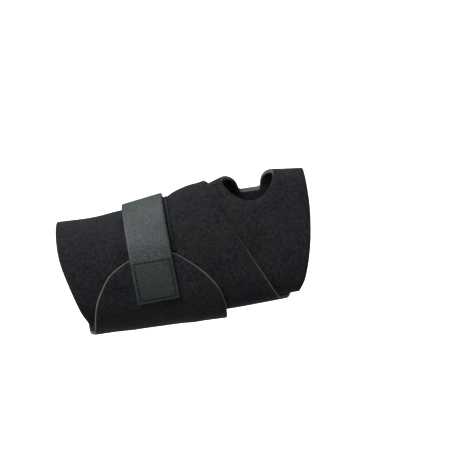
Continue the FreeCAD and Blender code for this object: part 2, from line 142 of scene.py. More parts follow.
THUMB_HOLE_X = 55.3 * MM
THUMB_HOLE_HALF = (18.0 * MM, 17.2 * MM)
THUMB_HOLE_MIDDLE = (-5.4 * MM, 42.4 * MM)
THUMB_HOLE_TURN = math.radians(28.0)
THUMB_HOLE_DEPTH = 13.2 * MM           # how far below its middle the hole reaches on the back
THUMB_HOLE_FROM = math.radians(-2.0)   # angle of the place from which its rim is drawn

# The stay's pocket, in the stay's own axes
STAY_Z = -6.0 * MM
POCKET_HALF = 12.0 * MM
POCKET_X = (-60.0 * MM, 60.0 * MM)
BINDING_X = (-60.5 * MM, -53.0 * MM)
BINDING_THICK = 0.6 * MM
BINDING_LIFT = 0.02 * MM
COVER_OUT = (3.3 * MM, 0.75 * MM)      # the cover's outer face, over the stay and on the flange
COVER_IN = (2.55 * MM, 0.10 * MM)
COVER_SLOPE = (9.0 * MM, 10.6 * MM)    # across the pocket, where the cover comes down to the flange
COVER_END_SLOPE = (56.0 * MM, 58.5 * MM)
CHANNEL_HALF = 7.5 * MM
FLANGE_FROM = 8.8 * MM
BINDING_SHRINK = 0.2 * MM              # from the cover's edge to the tape's
POCKET_STITCH_X = (-51.0 * MM, 57.0 * MM)
POCKET_END_ROW_X = 59.0 * MM
POCKET_STITCH_Z = 11.3 * MM

# The thread: where its rows lie, and how its stitches are made
BOX_STITCH_Z = (-25.5 * MM, -0.5 * MM)
TAIL_STITCH_Z = (33.0 * MM, 19.0 * MM)
FLAP_SEAM_Z = (-27.0 * MM, -30.5 * MM)
FLAP_SEAM_X = (-67.0 * MM, 18.0 * MM)
LOOP_STITCH_PALM_Z = (8.0 * MM, 38.0 * MM)
LOOP_STITCH_BACK_Z = (16.0 * MM, 38.0 * MM)
LOOP_STITCH_PAST = 1.5 * MM            # from the strap's edge out to the loop strip's row
LOOP_STITCH_IN = LOOP_IN + 0.85 * MM
STITCH_INSET = 2.2 * MM    # from the strap's edge to the row along it
STITCH_DIP = 0.22 * MM     # how far the thread draws the webbing in
STITCH_BED = 0.12 * MM     # how deep the thread lies between the ribs
STITCH_SHARE = 0.68        # of the pitch that a stitch spans
THUMB_STITCH = (2.5 * MM, 2.1 * MM)    # pitch and span
THREAD_RISE = 0.30 * MM
THREAD_SINK = 0.22 * MM
THUMB_SEAM = np.array([(31.2, 45.5), (33.6, 44.9), (32.2, 42.9), (34.6, 42.3), (33.2, 40.3), (35.6, 39.7),
                       (34.2, 37.7), (36.6, 37.1), (35.2, 35.1)]) * MM


# ---- numbers ----
def unit(v):
    return v / np.maximum(np.linalg.norm(v, axis=-1, keepdims=True), 1e-12)


def ease(value, start, end):
    t = np.clip((value - start) / (end - start), 0, 1)
    return t * t * (3 - 2 * t)


def last_holding(holds, start, end, shape, steps=30):
    """The farthest value from start to end, element by element, for which the test still holds."""
    low, high = np.full(shape, float(start)), np.full(shape, float(end))
    for _ in range(steps):
        middle = (low + high) / 2
        yes = holds(middle)
        low, high = np.where(yes, middle, low), np.where(yes, high, middle)
    return low


def crest_at(x):
    """Height of the opening's thumb side, as a smooth curve through its stations."""
    x = np.clip(np.asarray(x, float), CREST[0, 0], CREST[-1, 0])
    at = np.clip(np.searchsorted(CREST[:, 0], x, side="right") - 1, 0, len(CREST) - 2)
    slope = np.gradient(CREST[:, 1]) / np.gradient(CREST[:, 0])
    x0, z0 = CREST[at, 0], CREST[at, 1]
    x1, z1 = CREST[at + 1, 0], CREST[at + 1, 1]
    run = x1 - x0
    t = (x - x0) / run
    return ((2 * t ** 3 - 3 * t ** 2 + 1) * z0 + (t ** 3 - 2 * t ** 2 + t) * run * slope[at]
            + (3 * t ** 2 - 2 * t ** 3) * z1 + (t ** 3 - t ** 2) * run * slope[at + 1])


def radius_at(x, angle, height):
    """Distance from the arm's axis to the rounded oval that lies `height` outside the opening."""
    x, angle, height = np.broadcast_arrays(np.asarray(x, float), angle, height)
    top = crest_at(x) + height
    bottom = ULNAR_HEIGHT - height
    half_height = (top - bottom) / 2
    middle = (top + bottom) / 2
    half_depth = WRIST_HALF_DEPTH - DEPTH_TAPER * x + height
    power = SQUARENESS + SQUARER * x
    sine, cosine = np.sin(angle), np.cos(angle)

    def within(r):
        side = np.abs(r * sine / half_depth) ** power
        return side + np.abs((r * cosine - middle) / half_height) ** power <= 1

    return last_holding(within, 0, FARTHEST, x.shape, 34)


def softness(x, angle, amount):
    """Gentle unevenness that all the neoprene layers share, so that they stay clear of each other."""
    wave = sum(share * np.sin(count * angle + x / length + start) for share, count, length, start in WAVES)
    from_strap = x - STRAP_MIDDLE_X
    pressed = np.exp(-(np.abs(from_strap) / PRESSED_HALF) ** 6)
    bulge = sum(np.exp(-((from_strap - side * BULGE_AT) / BULGE_HALF) ** 2) for side in (1, -1))
    flat_back = 1 - STAY_FLATTENS * np.exp(-((np.mod(angle, math.tau) - FLAT_BACK[0]) / FLAT_BACK[1]) ** 4)
    return amount * flat_back * (wave * (1 - pressed) - 0.25 * pressed + 0.5 * bulge)


def place(x, angle, height, soft=0.0):
    """Point on a layer: x along the arm, angle round it from the thumb side, minus on the palm."""
    x, angle, height = np.broadcast_arrays(np.asarray(x, float), angle, height)
    rise = softness(x, angle, soft) if soft else 0.0
    r = radius_at(x, angle, height + rise)
    return np.stack([x, r * np.sin(angle), r * np.cos(angle)], axis=-1)


def normal_at(x, angle, height, soft=0.0):
    """Outward direction of a layer."""
    step = 0.6 * MM
    turn = step / ROUND
    along = place(x + step, angle, height, soft) - place(x - step, angle, height, soft)
    round_it = place(x, angle + turn, height, soft) - place(x, angle - turn, height, soft)
    return unit(np.cross(along, round_it))


def slack(x, angle):
    """Extra height of the loose flap round the little-finger side."""
    along = np.clip((x - FLAP_START_X) / (FLAP_END_X - FLAP_START_X), 0, 1)
    return FLAP_SLACK * along * np.maximum(0, -np.cos(angle)) ** 2


def strap_height(x, angle):
    """Inner face of the strap: over the flap, then the loop strip, then the hook tab."""
    height = STRAP_ON_FLAP + (STRAP_ON_LOOP - STRAP_ON_FLAP) * ease(np.degrees(angle), *STEP_TO_LOOP)
    height = height + (STRAP_ON_HOOK - STRAP_ON_LOOP) * ease(np.degrees(angle), *STEP_TO_HOOK)
    return height + slack(x, angle)


def strap_place(x, angle, lift):
    """Point on the strap, which lies straight across between its two sides."""
    near = place(STRAP_FROM_X, angle, strap_height(STRAP_FROM_X, angle) + lift)
    far = place(STRAP_TO_X, angle, strap_height(STRAP_TO_X, angle) + lift)
    share = ((x - STRAP_FROM_X) / (STRAP_TO_X - STRAP_FROM_X))[..., None]
    return near + (far - near) * share


def angle_for(x, z, height, palm=True):
    """Angle at which a layer passes the height z."""
    x, z = np.broadcast_arrays(np.asarray(x, float), z)
    sign = -1.0 if palm else 1.0
    return sign * last_holding(lambda a: place(x, sign * a, height)[..., 2] > z, 0, math.pi, x.shape)


def smooth_line(points, spacing):
    """Catmull-Rom curve through places, sampled about `spacing` apart."""
    points = np.asarray(points, float)
    ends = np.vstack([2 * points[0] - points[1], points, 2 * points[-1] - points[-2]])
    out = []
    for i in range(1, len(ends) - 2):
        p0, p1, p2, p3 = ends[i - 1:i + 3]
        count = max(2, int(np.linalg.norm(p2 - p1) / spacing))
        t = (np.arange(count) / count)[:, None]
        out.append(0.5 * (2 * p1 + (p2 - p0) * t + (2 * p0 - 5 * p1 + 4 * p2 - p3) * t ** 2
                          + (3 * p1 - p0 - 3 * p2 + p3) * t ** 3))
    out.append(points[-1:])
    return np.vstack(out)


def edge_x(edge, z):
    """X of a cut edge at the height z."""
    line = smooth_line(edge, 0.8 * MM)
    order = np.argsort(line[:, 1])
    return np.interp(z, line[order, 1], line[order, 0])


def edge_round(palm_edge, back_edge, height):
    """X of a tube's cut edge at every whole degree from the little-finger side round."""
    angle = np.radians(np.arange(-180, 180))
    x = np.where(angle < 0, palm_edge[:, 0].mean(), back_edge[:, 0].mean())
    for _ in range(12):
        z = place(x, angle, height)[..., 2]
        wanted = np.where(angle < 0, edge_x(palm_edge, z), edge_x(back_edge, z))
        x = 0.5 * x + 0.5 * wanted
    return evened(x, 3 * EDGE_BLUR, EDGE_BLUR)


def evened(ring, reach, blur):
    """Values round a ring, each averaged with its neighbours under a bell curve."""
    weight = np.exp(-0.5 * (np.arange(-reach, reach + 1) / blur) ** 2)
    padded = np.concatenate([ring[-reach:], ring, ring[:reach]])
    return np.convolve(padded, weight / weight.sum(), mode="valid")


# ---- meshes ----
def inside(points, loop):
    """Which plane points lie inside a closed loop."""
    x, y = points[:, 0], points[:, 1]
    hit = np.zeros(len(points), bool)
    x1, y1 = loop[:, 0], loop[:, 1]
    x2, y2 = np.roll(x1, -1), np.roll(y1, -1)
    for a, b, c, d in zip(x1, y1, x2, y2):
        crosses = (b > y) != (d > y)
        if crosses.any():
            hit ^= crosses & (x < (c - a) * (y - b) / (d - b + 1e-18) + a)
    return hit


def distance_to(points, loop):
    """Distance from plane points to the nearest corner of a loop."""
    best = np.full(len(points), 1.0)
    for start in range(0, len(loop), 64):
        part = loop[start:start + 64]
        gap = np.linalg.norm(points[:, None, :] - part[None, :, :], axis=2)
        best = np.minimum(best, gap.min(axis=1))
    return best


def triangulate(outer, holes, cell):
    """Plane points and triangles that fill an outline, with its rim followed exactly."""
    low, high = outer.min(axis=0), outer.max(axis=0)
    row_step, rim_room = 0.87 * cell, 0.6 * cell
    rows = np.arange(low[1] + cell / 2, high[1], row_step)
    filling = []
    for i, y in enumerate(rows):
        shift = 0.25 if i % 2 else -0.25
        xs = np.arange(low[0] + cell * (0.5 + shift), high[0], cell)
        filling.append(np.stack([xs, np.full(len(xs), y)], axis=1))
    filling = np.vstack(filling)
    keep = inside(filling, outer) & (distance_to(filling, outer) > rim_room)
    for hole in holes:
        keep &= ~inside(filling, hole) & (distance_to(filling, hole) > rim_room)
    loops = [outer, *holes]
    points = np.vstack([*loops, filling[keep]])
    edges = []
    start = 0
    for loop in loops:
        n = len(loop)
        edges += [(start + i, start + (i + 1) % n) for i in range(n)]
        start += n
    scale = 1000.0
    made = delaunay_2d_cdt([Vector(p) for p in points * scale], edges, [], 0, 1e-6)
    verts = np.array([tuple(v) for v in made[0]]) / scale
    tris = np.array([f for f in made[2] if len(f) == 3])
    centre = verts[tris].mean(axis=1)
    keep = inside(centre, outer)
    for hole in holes:
        keep &= ~inside(centre, hole)
    tris = tris[keep]
    a, b, c = verts[tris[:, 0]], verts[tris[:, 1]], verts[tris[:, 2]]
    area = (b[:, 0] - a[:, 0]) * (c[:, 1] - a[:, 1]) - (b[:, 1] - a[:, 1]) * (c[:, 0] - a[:, 0])
    tris[area < 0] = tris[area < 0][:, ::-1]
    return verts, tris[np.abs(area) > 1e-13]


def mesh_object(name, verts, faces, material, uv=None, masks=None):
    """Mesh object at the origin. uv is one plane place for each face corner."""
    mesh = bpy.data.meshes.new(name)
    mesh.from_pydata([tuple(v) for v in verts], [], [tuple(int(i) for i in f) for f in faces])
    if uv is not None:
        layer = mesh.uv_layers.new(name="cloth")
        layer.data.foreach_set("uv", np.asarray(uv, np.float32).ravel())
    for key, values in (masks or {}).items():
        mask = mesh.attributes.new(key, "FLOAT", "POINT")
        mask.data.foreach_set("value", np.asarray(values, np.float32))
    spot = mesh.attributes.new("rest", "FLOAT_VECTOR", "POINT")
    spot.data.foreach_set("vector", np.asarray(verts, np.float32).ravel())
    mesh.polygons.foreach_set("use_smooth", [True] * len(mesh.polygons))
    mesh.materials.append(material)
    mesh.update()
    obj = bpy.data.objects.new(name, mesh)
    bpy.context.scene.collection.objects.link(obj)
    return obj


# How a cut edge of the sheet runs from its outer face to its inner face:
# share of the thickness down from the outer face, reach past the face in metres, foam showing
CUT_RINGS = [(0.03, 0.12 * MM, 0.0), (0.12, 0.34 * MM, 0.0), (0.13, 0.36 * MM, 1.0), (0.36, 0.72 * MM, 1.0),
             (0.60, 0.85 * MM, 1.0), (0.86, 0.74 * MM, 1.0), (0.87, 0.73 * MM, 0.0), (0.97, 0.45 * MM, 0.0)]
CUT_REACH = 0.85 * MM


def neoprene_panel(name, plane, tris, height_of, thickness, soft, material, closed=False):
    """Thick sheet over a plane triangulation (x, angle * ROUND), with its cut edges."""
    x = plane[:, 0]
    angle = plane[:, 1] / ROUND
    merged = np.arange(len(plane))
    if closed:
        turned = np.where(np.abs(angle) > math.pi - 1e-4, math.pi, angle)
        wrapped = np.round(np.stack([x, turned], axis=1) * 1e6)
        _, first, back = np.unique(wrapped, axis=0, return_index=True, return_inverse=True)
        merged = first[back.ravel()]
    faces = merged[tris]
    height = height_of(x, angle)
    outer = place(x, angle, height + thickness, soft)
    inner = place(x, angle, height, soft)
    normal = normal_at(x, angle, height + thickness / 2, soft)
    count = len(plane)

    sides = np.vstack([faces[:, [0, 1]], faces[:, [1, 2]], faces[:, [2, 0]]])
    plane_sides = np.vstack([tris[:, [0, 1]], tris[:, [1, 2]], tris[:, [2, 0]]])
    third = np.concatenate([faces[:, 2], faces[:, 0], faces[:, 1]])
    code = np.minimum(sides[:, 0], sides[:, 1]) * count + np.maximum(sides[:, 0], sides[:, 1])
    _, where, times = np.unique(code, return_index=True, return_counts=True)
    rim = where[times == 1]
    rim_sides, rim_plane, rim_third = sides[rim], plane_sides[rim], third[rim]

    middle = (outer + inner) / 2
    reach = np.zeros((count, 3))
    along = middle[rim_sides[:, 1]] - middle[rim_sides[:, 0]]
    away = np.cross(along, normal[rim_sides[:, 0]])
    to_third = middle[rim_third] - middle[rim_sides[:, 0]]
    away = np.where((np.einsum("ij,ij->i", away, to_third) > 0)[:, None], -away, away)
    away = unit(away)
    for k in (0, 1):
        np.add.at(reach, rim_sides[:, k], away)
    rim_verts = np.unique(rim_sides)
    reach = unit(reach[rim_verts])
    slot_of = np.full(count, -1)
    slot_of[rim_verts] = np.arange(len(rim_verts))

    verts = [outer, inner]
    foam = [np.zeros(2 * count)]
    for down, out, shows in CUT_RINGS:
        ring = outer[rim_verts] + (inner[rim_verts] - outer[rim_verts]) * down + reach * out
        verts.append(ring)
        foam.append(np.full(len(rim_verts), shows))
    verts = np.vstack(verts)
    foam = np.concatenate(foam)

    def ring_index(k, v):
        return 2 * count + k * len(rim_verts) + slot_of[v]

    all_faces = [tuple(f) for f in faces] + [tuple(f[::-1] + count) for f in faces]
    uv = [plane[tris].reshape(-1, 2), plane[tris[:, ::-1]].reshape(-1, 2)]
    last = len(CUT_RINGS)
    i, j = rim_sides[:, 0], rim_sides[:, 1]
    corner_uv = np.stack([plane[rim_plane[:, 1]], plane[rim_plane[:, 0]], plane[rim_plane[:, 0]],
                          plane[rim_plane[:, 1]]], axis=1).reshape(-1, 2)
    for k in range(last + 1):
        top_i, top_j = (i, j) if k == 0 else (ring_index(k - 1, i), ring_index(k - 1, j))
        low_i, low_j = (i + count, j + count) if k == last else (ring_index(k, i), ring_index(k, j))
        all_faces += [tuple(f) for f in np.stack([top_j, top_i, low_i, low_j], axis=1)]
        uv.append(corner_uv)
    used = np.unique(np.concatenate([np.asarray(f) for f in all_faces]))
    renumber = np.full(len(verts), -1)
    renumber[used] = np.arange(len(used))
    all_faces = [tuple(renumber[list(f)]) for f in all_faces]
    return mesh_object(name, verts[used], all_faces, material, np.vstack(uv), {"foam": foam[used]})


def slab(name, outer, inner, material, masks=None):
    """Closed solid between two grids of points, rows by columns."""
    rows, cols = outer.shape[:2]
    verts = np.vstack([outer.reshape(-1, 3), inner.reshape(-1, 3)])
    index = np.arange(rows * cols).reshape(rows, cols)
    low = index + rows * cols
    faces = []

    def strip(a, b, c, d):
        faces.append(np.stack([a.ravel(), b.ravel(), c.ravel(), d.ravel()], axis=1))

    strip(index[:-1, :-1], index[1:, :-1], index[1:, 1:], index[:-1, 1:])
    strip(low[:-1, :-1], low[:-1, 1:], low[1:, 1:], low[1:, :-1])
    strip(index[:-1, 0], low[:-1, 0], low[1:, 0], index[1:, 0])
    strip(index[:-1, -1], index[1:, -1], low[1:, -1], low[:-1, -1])
    strip(index[0, :-1], index[0, 1:], low[0, 1:], low[0, :-1])
    strip(index[-1, :-1], low[-1, :-1], low[-1, 1:], index[-1, 1:])
    faces = np.vstack(faces)
    step_u = np.linalg.norm(np.diff(outer[:, cols // 2], axis=0), axis=1)
    step_v = np.linalg.norm(np.diff(outer[rows // 2], axis=0), axis=1)
    u = np.concatenate([[0], np.cumsum(step_u)])
    v = np.concatenate([[0], np.cumsum(step_v)])
    flat = np.stack(np.meshgrid(u, v, indexing="ij"), axis=-1).reshape(-1, 2)
    flat = np.vstack([flat, flat])
    both = {key: np.tile(np.asarray(value).ravel(), 2) for key, value in (masks or {}).items()}
    return facing_out(mesh_object(name, verts, faces, material, flat[faces].reshape(-1, 2), both))


def facing_out(obj):
    """The closed solid, turned right side out if its grid ran the other way."""
    mesh = obj.data
    mesh.calc_loop_triangles()
    volume = 0.0
    for t in mesh.loop_triangles:
        a, b, c = (mesh.vertices[i].co for i in t.vertices)
        volume += a.dot(b.cross(c))
    if volume < 0:
        mesh.flip_normals()
    return obj


def plain_mesh(obj):
    """Turn a piece that a Geometry Nodes tree makes into a plain mesh, with its modifier gone."""
    bpy.context.view_layer.update()
    graph = bpy.context.evaluated_depsgraph_get()
    mesh = bpy.data.meshes.new_from_object(obj.evaluated_get(graph), preserve_all_data_layers=True,
                                           depsgraph=graph)
    obj.modifiers.clear()
    obj.data = mesh
    mesh.name = obj.name
    mesh.polygons.foreach_set("use_smooth", [True] * len(mesh.polygons))
    if not len(mesh.polygons):
        raise RuntimeError(f"{obj.name} came out empty")
    return obj


# ---- shader groups ----
def feed(tree, socket, value):
    """Link a socket to another, or set its value."""
    if isinstance(value, bpy.types.NodeSocket):
        tree.links.new(value, socket)
    else:
        socket.default_value = value


def add(tree, kind, **inputs):
    """Node with its inputs fed by name. A name that starts with set_ is one of the node's own settings."""
    made = tree.nodes.new(kind)
    for key, value in inputs.items():
        if key.startswith("set_"):
            setattr(made, key.removeprefix("set_"), value)
    for key, value in inputs.items():
        if not key.startswith("set_"):
            feed(tree, made.inputs[key.replace("_", " ")], value)
    return made


def maths(tree, operation, *values):
    made = add(tree, "ShaderNodeMath", set_operation=operation)
    for socket, value in zip(made.inputs, values):
        feed(tree, socket, value)
    return made.outputs[0]


def times(tree, first, second):
    return maths(tree, "MULTIPLY", first, second)


def plus(tree, first, second):
    return maths(tree, "ADD", first, second)


def scaled(tree, value, gain, offset):
    return maths(tree, "MULTIPLY_ADD", value, gain, offset)


def noise(tree, spot, scale, detail):
    return add(tree, "ShaderNodeTexNoise", Vector=spot, Scale=scale, Detail=detail).outputs["Fac"]


def shader_group(name, ins, outs):
    """Empty shader group with float, vector or colour sockets."""
    tree = bpy.data.node_groups.new(name, "ShaderNodeTree")
    for label, kind, default in ins:
        made = tree.interface.new_socket(name=label, in_out="INPUT", socket_type=kind)
        if default is not None:
            made.default_value = default
    for label, kind in outs:
        tree.interface.new_socket(name=label, in_out="OUTPUT", socket_type=kind)
    return tree, tree.nodes.new("NodeGroupInput").outputs, tree.nodes.new("NodeGroupOutput").inputs


def jersey_knit(name):
    """V-shaped loops of a jersey face. Pitches are in metres of cloth."""
    tree, ins, outs = shader_group(
        name, [("Cloth", "NodeSocketVector", None), ("Wale Pitch", "NodeSocketFloat", 0.0005),
               ("Course Pitch", "NodeSocketFloat", 0.0004)], [("Height", "NodeSocketFloat")])
    split = add(tree, "ShaderNodeSeparateXYZ", Vector=ins["Cloth"]).outputs
    across = maths(tree, "FRACT", maths(tree, "DIVIDE", split["Y"], ins["Wale Pitch"]))
    fold = times(tree, maths(tree, "ABSOLUTE", maths(tree, "SUBTRACT", across, 0.5)), 2.0)
    climb = plus(tree, maths(tree, "DIVIDE", split["X"], ins["Course Pitch"]), fold)
    loop = maths(tree, "SINE", times(tree, climb, math.tau))
    groove = maths(tree, "POWER", fold, 3.0)
    height = maths(tree, "SUBTRACT", scaled(tree, loop, 0.25, 0.6), times(tree, groove, 0.5))
    tree.links.new(height, outs["Height"])
    return tree


def plain_weave(name):
    """Over-and-under threads of a plain weave. Pitches are in metres of cloth."""
    tree, ins, outs = shader_group(
        name, [("Cloth", "NodeSocketVector", None), ("Warp Pitch", "NodeSocketFloat", 0.0006),
               ("Weft Pitch", "NodeSocketFloat", 0.0006)], [("Height", "NodeSocketFloat")])
    split = add(tree, "ShaderNodeSeparateXYZ", Vector=ins["Cloth"]).outputs
    warp, weft = (maths(tree, "SINE", times(tree, maths(tree, "DIVIDE", split[axis], ins[pitch]), math.pi))
                  for axis, pitch in (("X", "Warp Pitch"), ("Y", "Weft Pitch")))
    tree.links.new(scaled(tree, times(tree, warp, weft), 0.5, 0.5), outs["Height"])
    return tree


def worn_cloth(name):
    """Mottled tone of a used cloth, and the specks of lint on it."""
    tree, ins, outs = shader_group(
        name, [("Place", "NodeSocketVector", None), ("Mottle Size", "NodeSocketFloat", 0.0022),
               ("Lint", "NodeSocketFloat", 0.5)],
        [("Tone", "NodeSocketFloat"), ("Lint Mask", "NodeSocketFloat")])
    fineness = maths(tree, "DIVIDE", 1.0, ins["Mottle Size"])
    grain = add(tree, "ShaderNodeTexNoise", Vector=ins["Place"], Scale=fineness, Detail=3.0,
                Roughness=0.6).outputs["Fac"]
    broad = noise(tree, ins["Place"], 38.0, 2.0)
    tone = plus(tree, scaled(tree, grain, 3.6, -1.3), broad)
    tree.links.new(maths(tree, "MAXIMUM", tone, 0.15), outs["Tone"])
    speck = add(tree, "ShaderNodeTexVoronoi", Vector=ins["Place"], Scale=420.0).outputs["Distance"]
    patch = noise(tree, ins["Place"], 160.0, 1.0)
    few = maths(tree, "GREATER_THAN", patch, 0.60)
    spot = maths(tree, "LESS_THAN", speck, 0.16)
    tree.links.new(times(tree, times(tree, few, spot), ins["Lint"]), outs["Lint Mask"])
    return tree


# ---- materials ----
def fresh_material(name):
    """New material with an empty node tree."""
    material = bpy.data.materials.new("splint " + name)
    material.use_nodes = True
    material.node_tree.nodes.clear()
    return material, material.node_tree


def surfaced(material, **inputs):
    """The material with its Principled BSDF, whose inputs are fed by name."""
    tree = material.node_tree
    shader = add(tree, "ShaderNodeBsdfPrincipled", **inputs)
    output = tree.nodes.new("ShaderNodeOutputMaterial")
    tree.links.new(shader.outputs["BSDF"], output.inputs["Surface"])
    return material


def rgba(colour, gain=1.0):
    return (colour[0] * gain, colour[1] * gain, colour[2] * gain, 1.0)


def mixed(tree, factor, first, second, blend="MIX"):
    made = add(tree, "ShaderNodeMix", set_data_type="RGBA", set_blend_type=blend)
    for socket, value in ((made.inputs["Factor"], factor), (made.inputs[6], first), (made.inputs[7], second)):
        feed(tree, socket, value)
    return made.outputs[2]


def toned(tree, colour, tone):
    """Colour multiplied by a tone that varies."""
    grey = add(tree, "ShaderNodeCombineColor", Red=tone, Green=tone, Blue=tone).outputs["Color"]
    return mixed(tree, 1.0, colour, grey, "MULTIPLY")


def attribute(tree, name):
    return add(tree, "ShaderNodeAttribute", set_attribute_name=name).outputs


def cloth_place(tree):
    """Places on the flat cloth, and in the piece at rest."""
    flat = add(tree, "ShaderNodeUVMap", set_uv_map="cloth").outputs["UV"]
    return flat, attribute(tree, "rest")["Vector"]


def object_place(tree):
    return add(tree, "ShaderNodeTexCoord").outputs["Object"]


def use_group(tree, build, name, **inputs):
    """Outputs of a shared shader group, which is built once."""
    group = bpy.data.node_groups.get(name) or build(name)
    return add(tree, "ShaderNodeGroup", set_node_tree=group, **inputs).outputs


def bump(tree, height, strength, distance):
    return add(tree, "ShaderNodeBump", Strength=strength, Distance=distance, Height=height).outputs["Normal"]


def neoprene_material(sizes):
    """Black jersey faces, with the grey-brown foam that shows where the sheet is cut."""
    material, tree = fresh_material("neoprene")
    flat, spot = cloth_place(tree)
    worn = use_group(tree, worn_cloth, "worn cloth", Place=spot, Mottle_Size=0.0020, Lint=0.35)
    knit = use_group(tree, jersey_knit, "jersey knit", Cloth=flat, Wale_Pitch=sizes.knit_pitch,
                     Course_Pitch=sizes.knit_pitch * 0.8)
    foam = attribute(tree, "foam")["Fac"]
    pores = add(tree, "ShaderNodeTexVoronoi", Vector=spot, Scale=2600.0).outputs["Distance"]
    warm = (sizes.jersey[0] * 1.18, sizes.jersey[1], sizes.jersey[2] * 0.95, 1.0)
    cast = scaled(tree, noise(tree, spot, 45.0, 3.0), 3.0, -1.0)
    cast = add(tree, "ShaderNodeClamp", Value=cast).outputs[0]
    jersey = toned(tree, mixed(tree, cast, rgba(sizes.jersey), warm), worn["Tone"])
    jersey = mixed(tree, worn["Lint Mask"], jersey, rgba(sizes.jersey, 3.0))
    # Painted shade in the foam's pores: the cut foam is darker in the middle of each pore than on the walls
    # between them
    core = toned(tree, rgba(sizes.foam), scaled(tree, pores, 0.7, 0.6))
    relief = plus(tree, times(tree, knit["Height"], 0.6), times(tree, worn["Tone"], 0.8))
    relief = plus(tree, relief, times(tree, times(tree, pores, foam), 0.8))
    return surfaced(material, Base_Color=mixed(tree, foam, jersey, core),
                    Roughness=scaled(tree, worn["Tone"], 0.08, 0.72), Sheen_Weight=0.05, Sheen_Roughness=0.45,
                    Sheen_Tint=(0.62, 0.66, 0.80, 1.0), Specular_IOR_Level=0.06,
                    Normal=bump(tree, relief, 0.55, 0.00022))


def webbing_material(sizes):
    """Ribbed nylon webbing, with painted light on the ribs, and painted shade in the grooves between them, in
    the grooves the stitches draw and on the part that is stitched down.
    """
    material, tree = fresh_material("webbing")
    flat, spot = cloth_place(tree)
    worn = use_group(tree, worn_cloth, "worn cloth", Place=spot, Mottle_Size=0.0011, Lint=0.8)
    weave = use_group(tree, plain_weave, "plain weave", Cloth=flat, Warp_Pitch=0.00045, Weft_Pitch=0.0011)
    rib = attribute(tree, "rib")["Fac"]
    sewn = attribute(tree, "sewn")["Fac"]
    # Painted light on the ribs and painted shade in the grooves between them, times the random mottle
    tone = times(tree, worn["Tone"], scaled(tree, rib, 0.75, 0.52))
    # Painted shade: the colour is darkened on the stitched-down part and in the grooves that the stitches
    # draw
    tone = times(tree, tone, scaled(tree, sewn, -0.47, 1.0))
    colour = mixed(tree, worn["Lint Mask"], toned(tree, rgba(sizes.webbing), tone), rgba(sizes.webbing, 2.2))
    return surfaced(material, Base_Color=colour, Roughness=scaled(tree, rib, -0.10, 0.62), Sheen_Weight=0.10,
                    Sheen_Roughness=0.35, Sheen_Tint=(0.75, 0.85, 0.88, 1.0), Specular_IOR_Level=0.22,
                    Normal=bump(tree, weave["Height"], 0.5, 0.00012))


def woven_material(name, colour, pitch, lint=0.3):
    """Plain-woven cloth or tape."""
    material, tree = fresh_material(name)
    flat, spot = cloth_place(tree)
    worn = use_group(tree, worn_cloth, "worn cloth", Place=spot, Mottle_Size=0.0016, Lint=lint)
    weave = use_group(tree, plain_weave, "plain weave", Cloth=flat, Warp_Pitch=pitch, Weft_Pitch=pitch)
    # Painted light on the raised threads and painted shade in the hollows of the weave, times the random
    # mottle
    tone = times(tree, worn["Tone"], scaled(tree, weave["Height"], 0.5, 0.7))
    return surfaced(material, Base_Color=toned(tree, rgba(colour), tone),
                    Roughness=scaled(tree, weave["Height"], -0.12, 0.70), Sheen_Weight=0.15,
                    Normal=bump(tree, weave["Height"], 0.7, 0.00020))


def fibre_material(name, colour, roughness):
    """Thread, pile or hooks: fine twisted fibres."""
    material, tree = fresh_material(name)
    twist = noise(tree, object_place(tree), 2200.0, 2.0)
    return surfaced(material, Base_Color=toned(tree, rgba(colour), plus(tree, twist, 0.5)),
                    Roughness=scaled(tree, twist, 0.2, roughness), Specular_IOR_Level=0.12,
                    Normal=bump(tree, twist, 0.4, 0.0001))


def stay_material():
    """Aluminium strip, brushed along its length, with fine scratches."""
    material, tree = fresh_material("stay aluminium")
    spot = object_place(tree)
    along = add(tree, "ShaderNodeMapping", Vector=spot, Scale=(30.0, 1800.0, 1800.0)).outputs["Vector"]
    brush = noise(tree, along, 1.0, 4.0)
    cloudy = noise(tree, spot, 90.0, 2.0)
    tone = plus(tree, times(tree, brush, 0.35), scaled(tree, cloudy, 0.2, 0.70))
    return surfaced(material, Base_Color=toned(tree, (0.46, 0.47, 0.48, 1.0), tone), Metallic=1.0,
                    Roughness=scaled(tree, brush, 0.25, 0.32), Normal=bump(tree, brush, 0.25, 0.00005))


def vinyl_material():
    """Dipped vinyl on the stay's ends: smooth, with slow ripples and scuffs."""
    material, tree = fresh_material("dipped vinyl")
    spot = object_place(tree)
    ripple = noise(tree, spot, 260.0, 2.0)
    scuff = noise(tree, spot, 900.0, 3.0)
    return surfaced(material, Base_Color=toned(tree, (0.03, 0.03, 0.033, 1.0), plus(tree, scuff, 0.5)),
                    Roughness=scaled(tree, scuff, 0.3, 0.25), Normal=bump(tree, ripple, 0.3, 0.0003))


def pale_material(name, colour):
    """The stage's matt paper, which glows where its mask says so."""
    material, tree = fresh_material(name)
    cloudy = noise(tree, object_place(tree), 1.5, 1.0)
    glow = attribute(tree, "glow")["Fac"]
    tone = times(tree, scaled(tree, cloudy, 0.02, 0.99), scaled(tree, glow, 0.4, 0.38))
    return surfaced(material, Base_Color=toned(tree, rgba(colour), tone), Roughness=0.9,
                    Emission_Color=toned(tree, (1, 1, 1, 1), glow), Emission_Strength=1.0)


def material_for(name, build, *values):
    """The material of that name, built once."""
    return bpy.data.materials.get("splint " + name) or build(*values)


